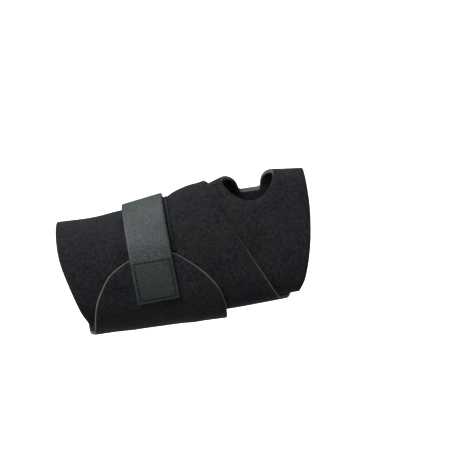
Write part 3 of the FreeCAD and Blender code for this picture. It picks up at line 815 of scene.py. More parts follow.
# ---- thread, pile and hooks ----
def arch_tree():
    """Geometry Nodes tree that stands a bent length of thread on every point."""
    name = "thread arches"
    if name in bpy.data.node_groups:
        return bpy.data.node_groups[name]
    tree = bpy.data.node_groups.new(name, "GeometryNodeTree")
    tree.is_modifier = True
    for label, kind, default in (("Geometry", "NodeSocketGeometry", None), ("Span", "NodeSocketFloat", 0.002),
                                 ("Rise", "NodeSocketFloat", 0.0004), ("Sink", "NodeSocketFloat", 0.0002),
                                 ("Thickness", "NodeSocketFloat", 0.0002), ("Bends", "NodeSocketInt", 4),
                                 ("Sides", "NodeSocketInt", 5), ("Material", "NodeSocketMaterial", None)):
        made = tree.interface.new_socket(name=label, in_out="INPUT", socket_type=kind)
        if default is not None:
            made.default_value = default
    tree.interface.new_socket(name="Geometry", in_out="OUTPUT", socket_type="NodeSocketGeometry")
    ins = tree.nodes.new("NodeGroupInput").outputs
    out = tree.nodes.new("NodeGroupOutput").inputs

    low = times(tree, ins["Sink"], -1.0)
    start, end = (add(tree, "ShaderNodeCombineXYZ", X=times(tree, ins["Span"], side), Z=low).outputs[0]
                  for side in (-0.5, 0.5))
    top = add(tree, "ShaderNodeCombineXYZ", Z=scaled(tree, ins["Rise"], 2.0, ins["Sink"])).outputs[0]
    arc = add(tree, "GeometryNodeCurveQuadraticBezier", Resolution=ins["Bends"], Start=start, Middle=top,
              End=end)
    ring = add(tree, "GeometryNodeCurvePrimitiveCircle", Resolution=ins["Sides"], Radius=ins["Thickness"])
    thread = add(tree, "GeometryNodeCurveToMesh", Curve=arc.outputs["Curve"],
                 Profile_Curve=ring.outputs["Curve"], Fill_Caps=True)
    outward, along = (add(tree, "GeometryNodeInputNamedAttribute", set_data_type="FLOAT_VECTOR",
                          Name=label).outputs["Attribute"] for label in ("outward", "along"))
    turn = add(tree, "FunctionNodeAxesToRotation", set_primary_axis="Z", set_secondary_axis="X",
               Primary_Axis=outward, Secondary_Axis=along)
    points = add(tree, "GeometryNodeMeshToPoints", Mesh=ins["Geometry"])
    stood = add(tree, "GeometryNodeInstanceOnPoints", Points=points.outputs[0],
                Instance=thread.outputs["Mesh"], Rotation=turn.outputs["Rotation"])
    real = add(tree, "GeometryNodeRealizeInstances", Geometry=stood.outputs["Instances"])
    dressed = add(tree, "GeometryNodeSetMaterial", Geometry=real.outputs["Geometry"],
                  Material=ins["Material"])
    tree.links.new(dressed.outputs["Geometry"], out["Geometry"])
    return tree


def arches(name, points, along, outward, material, **settings):
    """Plain mesh of bent threads standing on the points."""
    mesh = bpy.data.meshes.new(name)
    mesh.from_pydata([tuple(p) for p in points], [], [])
    for label, values in (("along", along), ("outward", outward)):
        held = mesh.attributes.new(label, "FLOAT_VECTOR", "POINT")
        held.data.foreach_set("vector", np.asarray(values, np.float32).ravel())
    obj = bpy.data.objects.new(name, mesh)
    bpy.context.scene.collection.objects.link(obj)
    tree = arch_tree()
    modifier = obj.modifiers.new("thread", "NODES")
    modifier.node_group = tree
    sockets = {s.name: s.identifier for s in tree.interface.items_tree if s.in_out == "INPUT"}
    modifier[sockets["Material"]] = material
    for label, value in settings.items():
        modifier[sockets[label]] = value
    return plain_mesh(obj)


def joined(name, first, second):
    """One object from two, keeping the first one's cloth map and masks."""
    bpy.ops.object.select_all(action="DESELECT")
    first.select_set(True)
    second.select_set(True)
    bpy.context.view_layer.objects.active = first
    bpy.ops.object.join()
    first.name = name
    first.data.name = name
    return first


def row_on(face, start, end, pitch):
    """Middles, directions and outward directions of stitches between two (x, z) places on a face."""
    start, end = np.asarray(start, float), np.asarray(end, float)
    count = max(2, int(round(np.linalg.norm(end - start) / pitch)))
    share = (np.arange(count + 1) / count)[:, None]
    ends, out = face(start + (end - start) * share)
    middle = (ends[1:] + ends[:-1]) / 2
    return middle, unit(ends[1:] - ends[:-1]), unit(out[1:] + out[:-1])


def on_layer(height, palm, soft, extra=lambda x, angle: 0.0):
    """Face function for a layer: gives the points and outward directions at (x, z) places."""
    def face(spots):
        x, z = spots[:, 0], spots[:, 1]
        angle = angle_for(x, z, height, palm)
        angle = angle_for(x, z, height + extra(x, angle), palm)
        full = height + extra(x, angle)
        return place(x, angle, full, soft), normal_at(x, angle, full, soft)
    return face


def on_strap(palm):
    """Face function for the strap's ribbed side."""
    def face(spots):
        x, z = spots[:, 0], spots[:, 1]
        sign = -1.0 if palm else 1.0

        def above(a):
            return strap_place(x, sign * a, WEBBING)[..., 2] > z

        angle = sign * last_holding(above, 0, math.pi, x.shape)
        turn = 0.02
        round_it = strap_place(x, angle + turn, WEBBING) - strap_place(x, angle - turn, WEBBING)
        along = strap_place(x + MM, angle, WEBBING) - strap_place(x - MM, angle, WEBBING)
        return strap_place(x, angle, WEBBING - STITCH_BED), unit(np.cross(along, round_it))
    return face


def strap_x(z, side=0.0, inset=STITCH_INSET):
    """X of the strap's middle, or of a line along one of its sides, at the height z."""
    return STRAP_MIDDLE_X + STRAP_LEAN * (STRAP_LEAN_Z - z) + side * (STRAP_HALF - inset)


def strap_lengths():
    """Angles round the strap, and the length of webbing to each from where its two parts meet."""
    angle = np.linspace(STRAP_END, STRAP_TIP, 1600)
    x = np.full(angle.shape, STRAP_MIDDLE_X)
    points = strap_place(x, angle, WEBBING)
    step = np.linalg.norm(np.diff(points, axis=0), axis=1)
    length = np.concatenate([[0], np.cumsum(step)])
    return angle, length - np.interp(STRAP_JOIN, angle, length)


# Across half the strap: where its columns lie, and how the woven edge rounds off
STRAP_COLUMNS = np.array([0.25, 0.5, 0.75, 0.79, 0.82, 0.848, 0.876, 0.91, 0.955, 0.985, 1])
STRAP_ROUNDING = ([0.91, 0.955, 0.985, 1.0], [0, 0.07, 0.20, 0.42])
ROWS_IN_RIB = 6
DRAWN_HALF = 0.55 * MM     # half the width of the groove that a row of stitches draws


def strap_part(name, angle_from, angle_to, rib_pitch, material, sewn_shade_top=None):
    """Length of ribbed webbing. Cross ribs are modelled, and meet the next part in a groove."""
    angle, length = strap_lengths()
    low, high = np.interp([angle_from, angle_to], angle, length)
    first, last = round(low / rib_pitch), round(high / rib_pitch)
    rows = np.arange((last - first) * ROWS_IN_RIB + 1) * rib_pitch / ROWS_IN_RIB + first * rib_pitch
    row_angle = np.interp(rows, length, angle)
    rib = np.abs(np.sin(math.pi * rows / rib_pitch)) ** 1.3
    across = np.concatenate([-STRAP_COLUMNS[::-1], [0], STRAP_COLUMNS])
    rounding = np.interp(np.abs(across), *STRAP_ROUNDING)
    z = place(STRAP_MIDDLE_X, row_angle, strap_height(STRAP_MIDDLE_X, row_angle))[:, 2]
    x = strap_x(z)[:, None] + across[None, :] * STRAP_HALF
    a, tall = np.broadcast_arrays(row_angle[:, None], z[:, None], x)[:2]
    if sewn_shade_top is None:
        lines = [np.abs(tall - at) for at in TAIL_STITCH_Z]
    else:
        low, high = BOX_STITCH_Z
        side = np.abs(np.abs(across) * STRAP_HALF - (STRAP_HALF - STITCH_INSET))
        lines = [np.where((tall > low) & (tall < high), side, 1.0), np.abs(tall - low), np.abs(tall - high)]
    drawn_in = np.exp(-(np.min(lines, axis=0) / DRAWN_HALF) ** 2)
    if sewn_shade_top is None:
        drawn_in = drawn_in * (a > 0)
    up = (WEBBING + rib[:, None] * RIB_HEIGHT) * (1 - rounding[None, :]) - STITCH_DIP * drawn_in
    down = WEBBING * rounding[None, :] * 0.6 + 0 * up
    outer = strap_place(x, a, up)
    inner = strap_place(x, a, down)
    # Painted shade on the lower length's stitched-down part, below the given top height
    sewn = np.zeros(x.shape) if sewn_shade_top is None else (outer[..., 2] < sewn_shade_top) * (a < 0) * 1.0
    # Colour masks: painted light on the ribs, painted shade in their grooves and in the stitch grooves, and
    # painted shade on the stitched-down part
    masks = {"rib": np.broadcast_to(rib[:, None], x.shape) * (1 - drawn_in), "sewn": sewn + 0.9 * drawn_in}
    return slab(name, outer, inner, material, masks)


# ---- pieces ----
def cuff_outline():
    """Plane outline of the cuff: x and angle * ROUND, one sample a degree."""
    edge = edge_round(FINGER_EDGE, FINGER_EDGE, CUFF_IN + SHEET_MIDDLE) - CUT_REACH
    return tube_outline(np.full(360, CUFF_HEM_X + CUT_REACH), edge)


def tube_outline(left, right):
    """Outline of an open tube cut along the little-finger side. left and right are x at each degree."""
    angle = np.radians(np.arange(-180, 181)) * ROUND
    left, right = np.append(left, left[0]), np.append(right, right[0])
    seam = np.linspace(left[0], right[0], 50)
    lower = np.stack([seam, np.full(len(seam), angle[0])], axis=1)
    upper = np.stack([seam[::-1], np.full(len(seam), angle[-1])], axis=1)
    right_side = np.stack([right, angle], axis=1)[1:-1]
    left_side = np.stack([left, angle], axis=1)[::-1][1:-1]
    return np.vstack([lower, right_side, upper, left_side])


def thumb_hole():
    """Plane outline of the thumb hole: a leaning ellipse, straight where its far side stops."""
    sine, cosine = math.sin(THUMB_HOLE_TURN), math.cos(THUMB_HOLE_TURN)
    half_along, half_round = (half + CUT_REACH for half in THUMB_HOLE_HALF)

    def removed(x, angle):
        spot = place(x, angle, CUFF_IN + SHEET_MIDDLE)
        y, z = spot[..., 1] - THUMB_HOLE_MIDDLE[0], spot[..., 2] - THUMB_HOLE_MIDDLE[1]
        over = y * cosine + z * sine
        depth = z * cosine - y * sine
        in_ellipse = ((x - THUMB_HOLE_X) / half_along) ** 2 + (over / half_round) ** 2 < 1
        return in_ellipse & (depth > -THUMB_HOLE_DEPTH)

    turn = np.radians(np.arange(0, 360, 3))
    reach = np.linspace(1 * MM, 45 * MM, 900)
    x = THUMB_HOLE_X + np.cos(turn)[:, None] * reach[None, :]
    angle = THUMB_HOLE_FROM + np.sin(turn)[:, None] * reach[None, :] / ROUND
    first = reach[np.argmax(~removed(x, angle), axis=1)]
    soft = evened(first, 4, 1.6)
    return np.stack([THUMB_HOLE_X + np.cos(turn) * soft,
                     THUMB_HOLE_FROM * ROUND + np.sin(turn) * soft], axis=1)


def build_cuff(sizes, material):
    outline = cuff_outline()
    plane, tris = triangulate(outline, [thumb_hole()], sizes.cell)
    return neoprene_panel("hand_cuff_sheet", plane, tris, lambda x, a: CUFF_IN + 0 * x, sizes.sheet,
                          sizes.unevenness, material, closed=True)


def build_wrap(sizes, material):
    left = edge_round(ARM_EDGE, ARM_EDGE, WRAP_IN + SHEET_MIDDLE) + CUT_REACH
    right = edge_round(PALM_EDGE, BACK_EDGE, WRAP_IN + SHEET_MIDDLE) - CUT_REACH
    plane, tris = triangulate(tube_outline(left, right), [], sizes.cell)
    return neoprene_panel("wrist_wrap_sheet", plane, tris, lambda x, a: WRAP_IN + 0 * x, sizes.sheet,
                          sizes.unevenness, material, closed=True)


def flap_height(x, angle):
    return FLAP_IN + slack(x, angle)


def flap_line(edge, palm):
    """Plane places of one of the flap's edges. The back's angles go on past the little-finger side."""
    line = smooth_line(edge, 1.5 * MM)
    x, z = line[:, 0], line[:, 1]
    angle = angle_for(x, z, FLAP_IN + SHEET_MIDDLE, palm)
    for _ in range(3):
        angle = angle_for(x, z, flap_height(x, angle) + SHEET_MIDDLE, palm)
    if not palm:
        angle = angle - math.tau
    return np.stack([x, angle * ROUND], axis=1)


def inset_loop(loop, distance):
    """Closed outline, evened out and moved inwards."""
    for _ in range(3):
        loop = 0.25 * np.roll(loop, 1, axis=0) + 0.5 * loop + 0.25 * np.roll(loop, -1, axis=0)
    along = np.roll(loop, -1, axis=0) - np.roll(loop, 1, axis=0)
    left = unit(np.stack([-along[:, 1], along[:, 0]], axis=1))
    area = np.sum(loop[:, 0] * np.roll(loop[:, 1], -1) - np.roll(loop[:, 0], -1) * loop[:, 1])
    return loop + left * distance * (1 if area > 0 else -1)


def flap_outline():
    dome = flap_line(FLAP_DOME, True)
    right = flap_line(FLAP_RIGHT_BACK, False)
    left = flap_line(FLAP_LEFT_BACK, False)
    across = np.linspace(right[-1], left[0], 70)[1:-1]
    corners = np.vstack([dome, right, across, left])
    closed = np.vstack([corners, corners[:1]])
    length = np.concatenate([[0], np.cumsum(np.linalg.norm(np.diff(closed, axis=0), axis=1))])
    at = np.arange(0, length[-1], 1.0 * MM)
    even = np.stack([np.interp(at, length, closed[:, 0]), np.interp(at, length, closed[:, 1])], axis=1)
    return inset_loop(even, CUT_REACH)


def build_flap(sizes, material):
    plane, tris = triangulate(flap_outline(), [], sizes.cell)
    return neoprene_panel("closure_flap_sheet", plane, tris, flap_height, sizes.sheet, sizes.unevenness,
                          material)


def build_loop_strip(sizes, material):
    """Loop pile strip: a woven ground with loops standing on it."""
    top = LOOP_IN + LOOP_GROUND
    angle = np.linspace(LOOP_START, LOOP_END, 150)
    z = place(STRAP_MIDDLE_X, angle, LOOP_IN)[:, 2]
    dome = smooth_line(FLAP_DOME, 1 * MM)
    across = np.linspace(-1, 1, 20)
    x = strap_x(z)[:, None] + LOOP_SHOWS + across[None, :] * STRAP_HALF
    low_z = np.interp(x, dome[:, 0], dome[:, 1]) + LOOP_OFF_DOME
    start = angle_for(x, low_z, LOOP_IN)
    share = ((angle - angle[0]) / (angle[-1] - angle[0]))[:, None]
    a = start + (angle[-1] - start) * share
    ground = slab("loop_strip_ground", place(x, a, top), place(x, a, LOOP_IN), material)
    rng = np.random.default_rng(7)
    u, v = rng.random(sizes.pile_count), rng.random(sizes.pile_count)
    row, col = u * (len(angle) - 2), v * (len(across) - 2)
    i, j = row.astype(int), col.astype(int)
    fi, fj = row - i, col - j

    def between(grid):
        return (grid[i, j] * (1 - fi) * (1 - fj) + grid[i + 1, j] * fi * (1 - fj)
                + grid[i, j + 1] * (1 - fi) * fj + grid[i + 1, j + 1] * fi * fj)

    px, pa = between(x), between(a)
    points = place(px, pa, top)
    outward = unit(normal_at(px, pa, top) + rng.normal(0, 0.25, (len(px), 3)))
    along = unit(np.cross(outward, rng.normal(0, 1, (len(px), 3))))
    pile = arches("loop_strip_pile", points, along, outward, material, Span=0.6 * MM, Rise=0.32 * MM,
                  Sink=0.10 * MM, Thickness=0.055 * MM, Bends=3, Sides=3)
    return joined("loop_strip_pile_tape", ground, pile)


def build_hook_tab(material):
    """Hook tab inside the strap's tail: a stiff tape with rows of hooks on its inner side."""
    angle = np.linspace(HOOK_START, HOOK_END, 40)
    z = place(STRAP_MIDDLE_X, angle, HOOK_IN)[:, 2]
    across = np.linspace(-1, 1, 14)
    x = strap_x(z)[:, None] + across[None, :] * (STRAP_HALF - HOOK_INSET)
    a = np.broadcast_to(angle[:, None], x.shape)
    ground = HOOK_IN + HOOK_ROOM
    base = slab("hook_tab_tape", place(x, a, HOOK_IN + HOOK_TAPE), place(x, a, ground), material)
    rows, cols = np.meshgrid(*(np.linspace(0.03, 0.97, count) for count in (HOOK_ROWS, HOOK_COLUMNS)),
                             indexing="ij")
    pa = HOOK_START + (HOOK_END - HOOK_START) * rows.ravel()
    pz = place(STRAP_MIDDLE_X, pa, HOOK_IN)[:, 2]
    px = strap_x(pz) + (2 * cols.ravel() - 1) * (STRAP_HALF - HOOK_INSET - 0.5 * MM)
    points = place(px, pa, ground)
    outward = -normal_at(px, pa, HOOK_IN)
    along = unit(place(px, pa + 0.02, HOOK_IN) - place(px, pa - 0.02, HOOK_IN))
    hooks = arches("hook_tab_hooks", points, along, outward, material, Span=0.55 * MM, Rise=0.5 * MM,
                   Sink=0.15 * MM, Thickness=0.09 * MM, Bends=4, Sides=4)
    return joined("hook_tab_tape", base, hooks)


def on_back(x, y, z):
    """Places of the stay's own flat axes, turned on to the sloping back of the wrist."""
    turn = math.atan(DEPTH_TAPER)
    along = x * math.cos(turn) + y * math.sin(turn)
    outward = y * math.cos(turn) - x * math.sin(turn)
    return np.stack([along, outward + WRIST_HALF_DEPTH + FLAP_IN, z + STAY_Z], axis=-1)


def pocket_height(x, z, face, soft):
    """Height of one of the cover's faces in the stay's own axes: over the channel, and on the flange."""
    over_stay, on_flange = face
    world = on_back(x, 0 * x, z)
    angle = angle_for(world[..., 0], world[..., 2], WRAP_IN + NEOPRENE, False)
    surface = place(world[..., 0], angle, WRAP_IN + NEOPRENE, soft)[..., 1] - world[..., 1]
    raised = (1 - ease(np.abs(z), *COVER_SLOPE)) * (1 - ease(x, *COVER_END_SLOPE))
    return (surface + on_flange) * (1 - raised) + raised * over_stay


def crease(x, z):
    """Slow waves of the pocket's thin cloth."""
    return 0.10 * MM * np.sin(x / (7 * MM) + 3 * np.sin(z / (9 * MM)))


def pocket_grid(ends, count, soft, shrink=0.0):
    """Places of the pocket's cover between two ends, and the heights of its outer and inner faces."""
    half = POCKET_HALF - shrink
    z = np.concatenate([np.linspace(-half, -FLANGE_FROM, 9), np.linspace(-CHANNEL_HALF, CHANNEL_HALF, 11),
                        np.linspace(FLANGE_FROM, half, 9)])
    x, z = np.meshgrid(np.linspace(*ends, count), z, indexing="ij")
    outer = pocket_height(x, z, COVER_OUT, soft) + crease(x, z)
    inner = pocket_height(x, z, COVER_IN, soft) + 0.25 * crease(x, z)
    return x, z, outer, inner


def build_pocket(sizes, material):
    x, z, outer, inner = pocket_grid(POCKET_X, 150, sizes.unevenness)
    return slab("stay_pocket_cover", on_back(x, outer, z), on_back(x, inner, z), material)


def build_binding(sizes, material):
    """Tape over the cover's mouth, whose first row closes down to the cover's inner face."""
    x, z, cover, lining = pocket_grid(BINDING_X, 16, sizes.unevenness, BINDING_SHRINK)
    under = cover + BINDING_LIFT
    under[0] = lining[0]
    return slab("pocket_binding_tape", on_back(x, cover + BINDING_THICK, z), on_back(x, under, z), material)


def stitch_rows(sizes):
    """Places, directions and outward directions for every group of stitches, by node."""
    pitch = sizes.stitch_pitch

    def across(face, z):
        return row_on(face, (strap_x(z, -1), z), (strap_x(z, 1), z), pitch)

    def along(face, low, high, side, inset):
        return row_on(face, (strap_x(low, side, inset), low), (strap_x(high, side, inset), high), pitch)

    box = [across(on_strap(True), z) for z in BOX_STITCH_Z]
    box += [along(on_strap(True), *BOX_STITCH_Z, side, STITCH_INSET) for side in (-1, 1)]
    tail = [across(on_strap(False), z) for z in TAIL_STITCH_Z]
    loop = [along(on_layer(LOOP_STITCH_IN, palm, 0.0), *ends, 1, -LOOP_STITCH_PAST)
            for palm, ends in ((True, LOOP_STITCH_PALM_Z), (False, LOOP_STITCH_BACK_Z))]
    cuff = on_layer(CUFF_IN + NEOPRENE, True, sizes.unevenness)
    seam = [row_on(cuff, a, b, THUMB_STITCH[0]) for a, b in zip(THUMB_SEAM, THUMB_SEAM[1:])]
    back = on_layer(FLAP_IN + NEOPRENE, False, sizes.unevenness, slack)
    root = [row_on(back, (FLAP_SEAM_X[0], z), (FLAP_SEAM_X[1], z), pitch) for z in FLAP_SEAM_Z]
    return {"box_stitch": box, "tail_stitches": tail, "loop_stitches": loop, "thumb_seam": seam,
            "flap_seam": root, "pocket_stitches": [pocket_row(sizes, pitch)]}


def pocket_row(sizes, pitch):
    """Stitches down both flanges of the pocket and across its blind end."""
    side_x = np.arange(*POCKET_STITCH_X, pitch)
    end_z = np.arange(-POCKET_STITCH_Z + pitch, POCKET_STITCH_Z, pitch)
    x = np.concatenate([side_x, side_x, np.full(len(end_z), POCKET_END_ROW_X)])
    z = np.concatenate([np.full(len(side_x), -POCKET_STITCH_Z), np.full(len(side_x), POCKET_STITCH_Z), end_z])
    y = pocket_height(x, z, COVER_OUT, sizes.unevenness) + crease(x, z)
    step = 0.4 * MM
    up, down = (pocket_height(x, z + side * step, COVER_OUT, sizes.unevenness) for side in (1, -1))
    outward = unit(np.stack([0 * x, np.ones(len(x)), (down - up) / (2 * step)], axis=-1))
    lengthwise = np.tile([1.0, -DEPTH_TAPER, 0.0], (len(x), 1))
    lengthwise[2 * len(side_x):] = (0.0, 0.0, 1.0)
    return on_back(x, y, z), unit(lengthwise), outward


STITCH_RIDES = {"box_stitch": "flap", "tail_stitches": "strap_tail", "loop_stitches": "wrap",
                "thumb_seam": "wrap", "flap_seam": "wrap", "pocket_stitches": "wrap"}


# ---- the settings and steps of the add-on ----
class SplintSizes(bpy.types.PropertyGroup):
    sheet: FloatProperty(name="Neoprene", description="Thickness of the neoprene sheet", default=0.003,
                         min=0.001, max=0.006, subtype="DISTANCE", unit="LENGTH")
    unevenness: FloatProperty(name="Unevenness", description="How far the neoprene strays from a smooth tube",
                              default=0.00045, min=0.0, max=0.0008, subtype="DISTANCE", unit="LENGTH")
    cell: FloatProperty(name="Mesh cell", description="Width of the sheet's triangles", default=0.0024,
                        min=0.001, max=0.006, subtype="DISTANCE", unit="LENGTH")
    rib_pitch: FloatProperty(name="Rib pitch", description="Distance between the strap's cross ribs",
                             default=0.00135, min=0.0005, max=0.003, subtype="DISTANCE", unit="LENGTH")
    stitch_pitch: FloatProperty(name="Stitch pitch", description="Distance between stitches", default=0.0030,
                                min=0.001, max=0.006, subtype="DISTANCE", unit="LENGTH")
    thread_width: FloatProperty(name="Thread", description="Radius of the sewing thread", default=0.00034,
                                min=0.0001, max=0.0006, subtype="DISTANCE", unit="LENGTH")
    knit_pitch: FloatProperty(name="Knit pitch", description="Distance between the jersey's rows of loops",
                              default=0.00055, min=0.0002, max=0.002, subtype="DISTANCE", unit="LENGTH")
    pile_count: IntProperty(name="Pile loops", description="Loops standing on the loop strip", default=5200,
                            min=100, max=9000)
    jersey: FloatVectorProperty(name="Jersey", description="Colour of the black jersey faces",
                                default=(0.0054, 0.0062, 0.0074), size=3, subtype="COLOR")
    foam: FloatVectorProperty(name="Foam", description="Colour of the cut foam",
                              default=(0.052, 0.046, 0.040), size=3, subtype="COLOR")
    webbing: FloatVectorProperty(name="Webbing", description="Colour of the strap",
                                 default=(0.0150, 0.0192, 0.0200), size=3, subtype="COLOR")
    thread: FloatVectorProperty(name="Thread colour", description="Colour of the sewing thread",
                                default=(0.003, 0.0032, 0.0035), size=3, subtype="COLOR")


def sizes_of(context):
    return context.scene.splint_sizes


class SPLINT_OT_cuff(bpy.types.Operator):
    """Make the inner neoprene tube with its thumb hole"""
    bl_idname = "splint.cuff"
    bl_label = "Hand cuff"

    def execute(self, context):
        sizes = sizes_of(context)
        obj = build_cuff(sizes, material_for("neoprene", neoprene_material, sizes))
        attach(obj, "wrap")
        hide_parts("hand_cuff")
        return {"FINISHED"}


class SPLINT_OT_wrap(bpy.types.Operator):
    """Make the outer neoprene tube with its slanting edge"""
    bl_idname = "splint.wrap"
    bl_label = "Wrist wrap"

    def execute(self, context):
        sizes = sizes_of(context)
        obj = build_wrap(sizes, material_for("neoprene", neoprene_material, sizes))
        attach(obj, "wrap")
        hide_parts("wrist_wrap")
        return {"FINISHED"}


class SPLINT_OT_flap(bpy.types.Operator):
    """Make the flap as one sheet, sewn down on the back and bending at the little-finger side"""
    bl_idname = "splint.flap"
    bl_label = "Closure flap"

    def execute(self, context):
        sizes = sizes_of(context)
        obj = build_flap(sizes, material_for("neoprene", neoprene_material, sizes))
        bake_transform(obj)
        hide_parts("closure_flap", "flap_root")
        return {"FINISHED"}


class SPLINT_OT_strap(bpy.types.Operator):
    """Make the ribbed strap as two lengths of webbing, which meet at their join"""
    bl_idname = "splint.strap"
    bl_label = "Strap"

    def execute(self, context):
        sizes = sizes_of(context)
        webbing = material_for("webbing", webbing_material, sizes)
        lower = strap_part("strap_lower_webbing", STRAP_END, STRAP_JOIN, sizes.rib_pitch, webbing,
                           BOX_STITCH_Z[1] - 0.4 * MM)
        upper = strap_part("strap_upper_webbing", STRAP_JOIN, STRAP_TIP, sizes.rib_pitch, webbing)
        for obj, a, b, middle in ((lower, "flap", "strap_bend", STRAP_BEND),
                                  (upper, "strap_bend", "strap_tail", STRAP_TAIL)):
            turns = np.array([middle - BEND_HALF, middle + BEND_HALF])
            ends = [Vector(end) for end in strap_place(np.full(2, STRAP_MIDDLE_X), turns, WEBBING / 2)]
            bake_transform(obj)
        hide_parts("strap_sewn_end")
        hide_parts("strap_middle", "strap_tail")
        return {"FINISHED"}


class SPLINT_OT_hook_and_loop(bpy.types.Operator):
    """Make the loop strip on the wrap and the hook tab in the strap's tail"""
    bl_idname = "splint.hook_and_loop"
    bl_label = "Hook and loop"

    def execute(self, context):
        sizes = sizes_of(context)
        pile = material_for("loop pile", fibre_material, "loop pile", (0.009, 0.010, 0.011), 0.7)
        loop = build_loop_strip(sizes, pile)
        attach(loop, "wrap")
        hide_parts("loop_strip")
        hooks = material_for("hook nylon", fibre_material, "hook nylon", (0.030, 0.031, 0.033), 0.4)
        tab = build_hook_tab(hooks)
        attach(tab, "strap_tail")
        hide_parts("hook_tab")
        return {"FINISHED"}


class SPLINT_OT_stay(bpy.types.Operator):
    """Dress the metal stay and its dipped ends"""
    bl_idname = "splint.stay"
    bl_label = "Stay"

    def execute(self, context):
        for node, material in (("stay", material_for("stay aluminium", stay_material)),
                               ("stay_caps", material_for("dipped vinyl", vinyl_material))):
            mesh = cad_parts[node].data
            mesh.materials.clear()
            mesh.materials.append(material)
        return {"FINISHED"}


class SPLINT_OT_pocket(bpy.types.Operator):
    """Make the stay's sewn cover and the tape round its mouth"""
    bl_idname = "splint.pocket"
    bl_label = "Stay pocket"

    def execute(self, context):
        sizes = sizes_of(context)
        cover = build_pocket(sizes, material_for("pocket cloth", woven_material, "pocket cloth",
                                                 (0.010, 0.0105, 0.012), 0.0007))
        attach(cover, "wrap")
        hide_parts("stay_pocket")
        tape = build_binding(sizes, material_for("binding tape", woven_material, "binding tape",
                                                 (0.015, 0.016, 0.018), 0.0005))
        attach(tape, "wrap")
        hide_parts("pocket_binding")
        return {"FINISHED"}


class SPLINT_OT_thread(bpy.types.Operator):
    """Sew every row of stitches"""
    bl_idname = "splint.thread"
    bl_label = "Stitches"

    def execute(self, context):
        sizes = sizes_of(context)
        thread = material_for("thread", fibre_material, "thread", tuple(sizes.thread), 0.55)
        for node, rows in stitch_rows(sizes).items():
            points, along, outward = (np.vstack(part) for part in zip(*rows))
            span = THUMB_STITCH[1] if node == "thumb_seam" else sizes.stitch_pitch * STITCH_SHARE
            obj = arches(node + "_thread", points, along, outward, thread, Span=span, Rise=THREAD_RISE,
                         Sink=THREAD_SINK, Thickness=sizes.thread_width, Bends=6, Sides=6)
            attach(obj, STITCH_RIDES[node])
            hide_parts(node)
        return {"FINISHED"}


def bowl(radius, floor, rim):
    """Wide pale bowl: a flat floor that curves up into a wall all round."""
    turns = 96
    flat, curve = radius * 0.7, radius * 0.3
    profile = [(0.02, floor), *((r, floor) for r in np.linspace(0.4, flat, 14))]
    profile += [(flat + curve * math.sin(t), floor + curve * (1 - math.cos(t)))
                for t in np.linspace(0.1, math.pi / 2, 16)]
    profile += [(radius, z) for z in np.linspace(floor + curve, rim, 14)[1:]]
    verts = [(0.0, 0.0, floor)]
    for r, z in profile:
        verts += [(r * math.cos(t), r * math.sin(t), z) for t in (math.tau * i / turns for i in range(turns))]
    faces = [(0, 1 + i, 1 + (i + 1) % turns) for i in range(turns)]
    for k in range(len(profile) - 1):
        a, b = 1 + k * turns, 1 + (k + 1) * turns
        faces += [(a + i, b + i, b + (i + 1) % turns, a + (i + 1) % turns) for i in range(turns)]
    return verts, faces


def square_light(name, spot, side, power):
    """Square lamp that faces the splint and isn't seen itself."""
    light = bpy.data.lights.new(name, "AREA")
    light.size = side
    light.energy = power
    obj = bpy.data.objects.new(name, light)
    obj.location = spot
    obj.rotation_euler = (-Vector(spot)).to_track_quat("-Z", "Y").to_euler()
    obj.visible_camera = False
    bpy.context.scene.collection.objects.link(obj)


# The stage, in metres: the bowl, the lamps (name, place, side, watts) and the camera
BOWL_RADIUS, BOWL_FLOOR, BOWL_RIM = 3.2, -0.60, 3.4
LAMPS = [("key_light", (-0.9, -1.3, 1.5), 0.9, 120.0), ("top_light", (0.1, 0.2, 1.6), 1.2, 15.0),
         ("fill_light", (1.2, -1.5, 0.2), 1.2, 0.8)]
PAPER_WHITE = (0.93, 0.93, 0.93)
GLOW_REACH = (1.7, 2.4)    # from the middle, where the glow begins and is full
GLOW_TOP = (0.65, 1.05)    # up the wall, where it fades
GLOW_NEAR = (0.2, 1.8)     # towards the camera, where it is dimmed
GLOW_DIMMED = 0.65
WORLD_LIGHT = 0.05
CAMERA_SPOT = (0.0404, -1.3, 0.0081)
CAMERA_ROLL = math.radians(9.5)
LENS = 142.2               # millimetres, on a sensor 36 wide


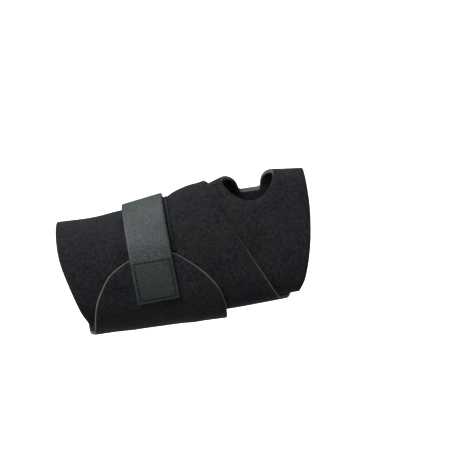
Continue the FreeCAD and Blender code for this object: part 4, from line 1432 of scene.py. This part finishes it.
class SPLINT_OT_stage(bpy.types.Operator):
    """Set the pale bowl, the lights and the camera"""
    bl_idname = "splint.stage"
    bl_label = "Stage"
    glow: FloatProperty(name="Glow", description="Light given off by the bowl's wall", default=1.0, min=0.0)

    def execute(self, context):
        scene = context.scene
        verts, faces = bowl(BOWL_RADIUS, BOWL_FLOOR, BOWL_RIM)
        pale = material_for("pale stage", pale_material, "pale stage", PAPER_WHITE)
        verts = np.array(verts)
        reach = np.linalg.norm(verts[:, :2], axis=1)
        glow = ease(reach, *GLOW_REACH) * (1 - ease(verts[:, 2], *GLOW_TOP)) * self.glow
        glow = glow * (1 - GLOW_DIMMED * ease(-verts[:, 1], *GLOW_NEAR))
        floor = mesh_object("stage_bowl", verts, faces, pale, masks={"glow": glow})
        for name, spot, side, power in LAMPS:
            square_light(name, spot, side, power)
        world = bpy.data.worlds.new("studio")
        world.use_nodes = True
        back = world.node_tree.nodes["Background"]
        back.inputs["Color"].default_value = (1, 1, 1, 1)
        back.inputs["Strength"].default_value = WORLD_LIGHT
        scene.world = world
        camera = bpy.data.cameras.new("camera")
        camera.lens, camera.sensor_width, camera.clip_end = LENS, 36.0, 20.0
        eye = bpy.data.objects.new("camera", camera)
        eye.location = CAMERA_SPOT
        eye.rotation_euler = (math.pi / 2, CAMERA_ROLL, 0.0)
        scene.collection.objects.link(eye)
        scene.camera = eye
        scene.view_settings.view_transform = "Standard"
        return {"FINISHED"}


class SPLINT_PT_panel(bpy.types.Panel):
    bl_label = "Wrist splint"
    bl_idname = "SPLINT_PT_panel"
    bl_space_type = "VIEW_3D"
    bl_region_type = "UI"
    bl_category = "Splint"

    def draw(self, context):
        sizes = sizes_of(context)
        for name in sizes.bl_rna.properties.keys():
            if name not in {"rna_type", "name"}:
                self.layout.prop(sizes, name)
        for step in STEPS:
            self.layout.operator(step.bl_idname)


STEPS = (SPLINT_OT_cuff, SPLINT_OT_wrap, SPLINT_OT_flap, SPLINT_OT_strap, SPLINT_OT_hook_and_loop,
         SPLINT_OT_stay, SPLINT_OT_pocket, SPLINT_OT_thread, SPLINT_OT_stage)
CLASSES = (SplintSizes, *STEPS, SPLINT_PT_panel)


def register():
    for cls in CLASSES:
        bpy.utils.register_class(cls)
    bpy.types.Scene.splint_sizes = PointerProperty(type=SplintSizes)


def unregister():
    del bpy.types.Scene.splint_sizes
    for cls in reversed(CLASSES):
        bpy.utils.unregister_class(cls)


def main():
    register()
    for step in (bpy.ops.splint.cuff, bpy.ops.splint.wrap, bpy.ops.splint.flap, bpy.ops.splint.strap,
                 bpy.ops.splint.hook_and_loop, bpy.ops.splint.stay, bpy.ops.splint.pocket,
                 bpy.ops.splint.thread, bpy.ops.splint.stage):
        if step() != {"FINISHED"}:
            raise RuntimeError(f"{step} did not finish")


if __name__ == "__main__":
    main()
